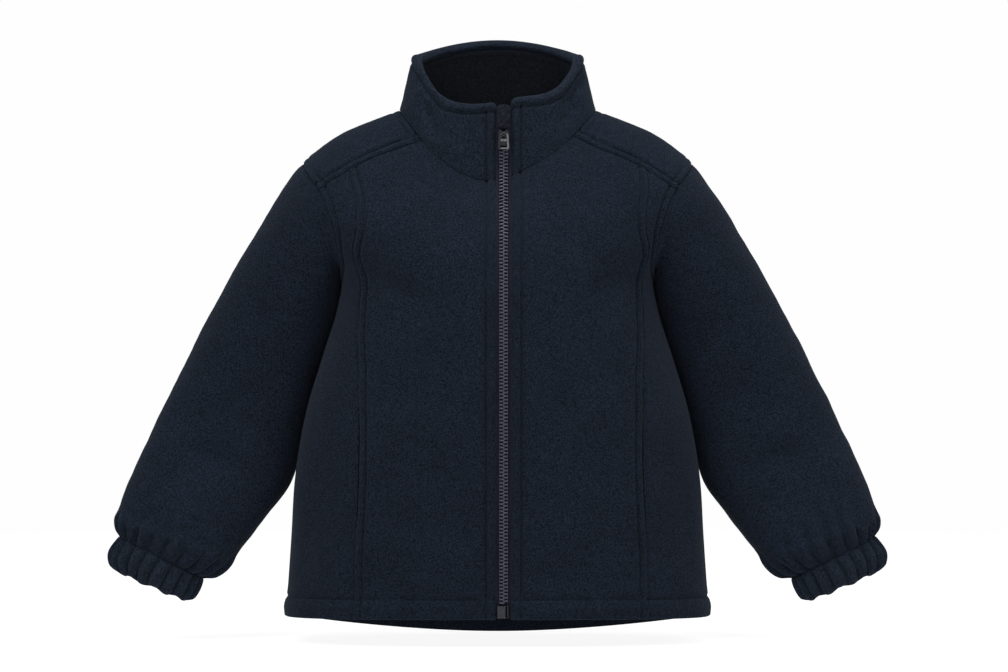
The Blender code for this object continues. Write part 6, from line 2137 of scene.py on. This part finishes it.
def add_floor():
    """A plain pale floor that fades into the surroundings."""
    floor_mesh = bpy.data.meshes.new("floor")
    ways = ((-1, -1), (1, -1), (1, 1), (-1, 1))
    corners = [(x * FLOOR_HALF, y * FLOOR_HALF, FLOOR_Z) for x, y in ways]
    floor_mesh.from_pydata(corners, [], [(0, 1, 2, 3)])
    nodes = Nodes("pale_floor")
    reach = nodes.add("ShaderNodeVectorMath", operation="LENGTH")
    nodes.link(nodes.where, reach.inputs[0])
    nearness = nodes.ramp(reach.outputs["Value"], FLOOR_FADE_FROM, FLOOR_FADE_TO, 1.0, 0.0)
    nodes.drive("Base Color", nodes.tinted(FLOOR_COLOUR, nearness))
    glow = nodes.ramp(nearness, 0.0, 1.0, BACKDROP_STRENGTH, FLOOR_GLOW)
    nodes.drive("Emission Strength", glow)
    nodes.plain(Roughness=0.9, Specular_IOR_Level=0.0, Emission_Color=WHITE)
    floor_mesh.materials.append(nodes.material)
    floor = bpy.data.objects.new("floor", floor_mesh)
    bpy.context.scene.collection.objects.link(floor)


def add_lights():
    for light in LIGHTS:
        lamp = bpy.data.lights.new(light.name, "AREA")
        lamp.energy = light.power
        lamp.shape = "RECTANGLE"
        lamp.size, lamp.size_y = light.width, light.height
        obj = bpy.data.objects.new(light.name, lamp)
        obj.location = light.place
        toward = Vector(light.aim) - Vector(light.place)
        obj.rotation_euler = toward.to_track_quat("-Z", "Y").to_euler()
        bpy.context.scene.collection.objects.link(obj)


def add_camera():
    """The camera, at the photograph's angle."""
    camera = bpy.data.cameras.new("camera")
    camera.lens = CAMERA_LENS
    camera.sensor_width = SENSOR_WIDTH
    camera.clip_end = CAMERA_SIGHT
    obj = bpy.data.objects.new("camera", camera)
    obj.location = CAMERA_PLACE
    obj.rotation_euler = (math.pi / 2, 0.0, 0.0)
    bpy.context.scene.collection.objects.link(obj)
    bpy.context.scene.camera = obj
    bpy.context.scene.view_settings.view_transform = "Standard"


# A cut piece's flat size in metres, with the area of the cut.
Cut = namedtuple("Cut", "width length area")


def main():
    finishes = {
        "fleece": cloth_finish("fleece", FLEECE_FINISH),
        "cuff": cloth_finish("gathered_fleece_painted_light", CUFF_LIT_FINISH),
        "collar": cloth_finish("collar_fleece_painted_light", COLLAR_LIT_FINISH),
        "collar_painted_shade": cloth_finish("collar_painted_shade", COLLAR_SHADE_FINISH),
        "garage": cloth_finish("garage_cloth", GARAGE_FINISH),
        "bag": cloth_finish("pocket_cloth", BAG_FINISH),
        "tape": tape_finish(),
        "teeth": teeth_finish(),
        "slider": metal_finish("dark_metal", SLIDER_COLOUR),
        "rails": metal_finish("cast_metal_painted_shade", PULL_COLOUR, PULL_RAIL_FROM),
        "dull_metal": metal_finish("dull_metal", BOX_COLOUR),
        "thread": thread_finish(),
    }
    seams = {name: body_seams(side) for name, side in SIDES.items()}
    add_fronts(seams, finishes["fleece"])
    both = (seams["left"], seams["right"])
    body_cloth("cloth_back", back_blocks(*both), back_lines(*both), finishes["fleece"], ["back"])
    add_sleeves(seams, finishes["fleece"])
    add_cuffs(finishes["cuff"])
    collar_threads = add_collar(finishes["collar"], finishes["collar_painted_shade"])
    add_bags(finishes["bag"])
    add_tabs(finishes["tape"])
    add_tapes(finishes["tape"])
    add_teeth(finishes["teeth"])
    add_garage(finishes["garage"])
    finish_metal(frame["nodes"], finishes)
    add_stitches(seams, collar_threads, finishes["thread"])
    add_surroundings()
    add_floor()
    add_lights()
    add_camera()


main()
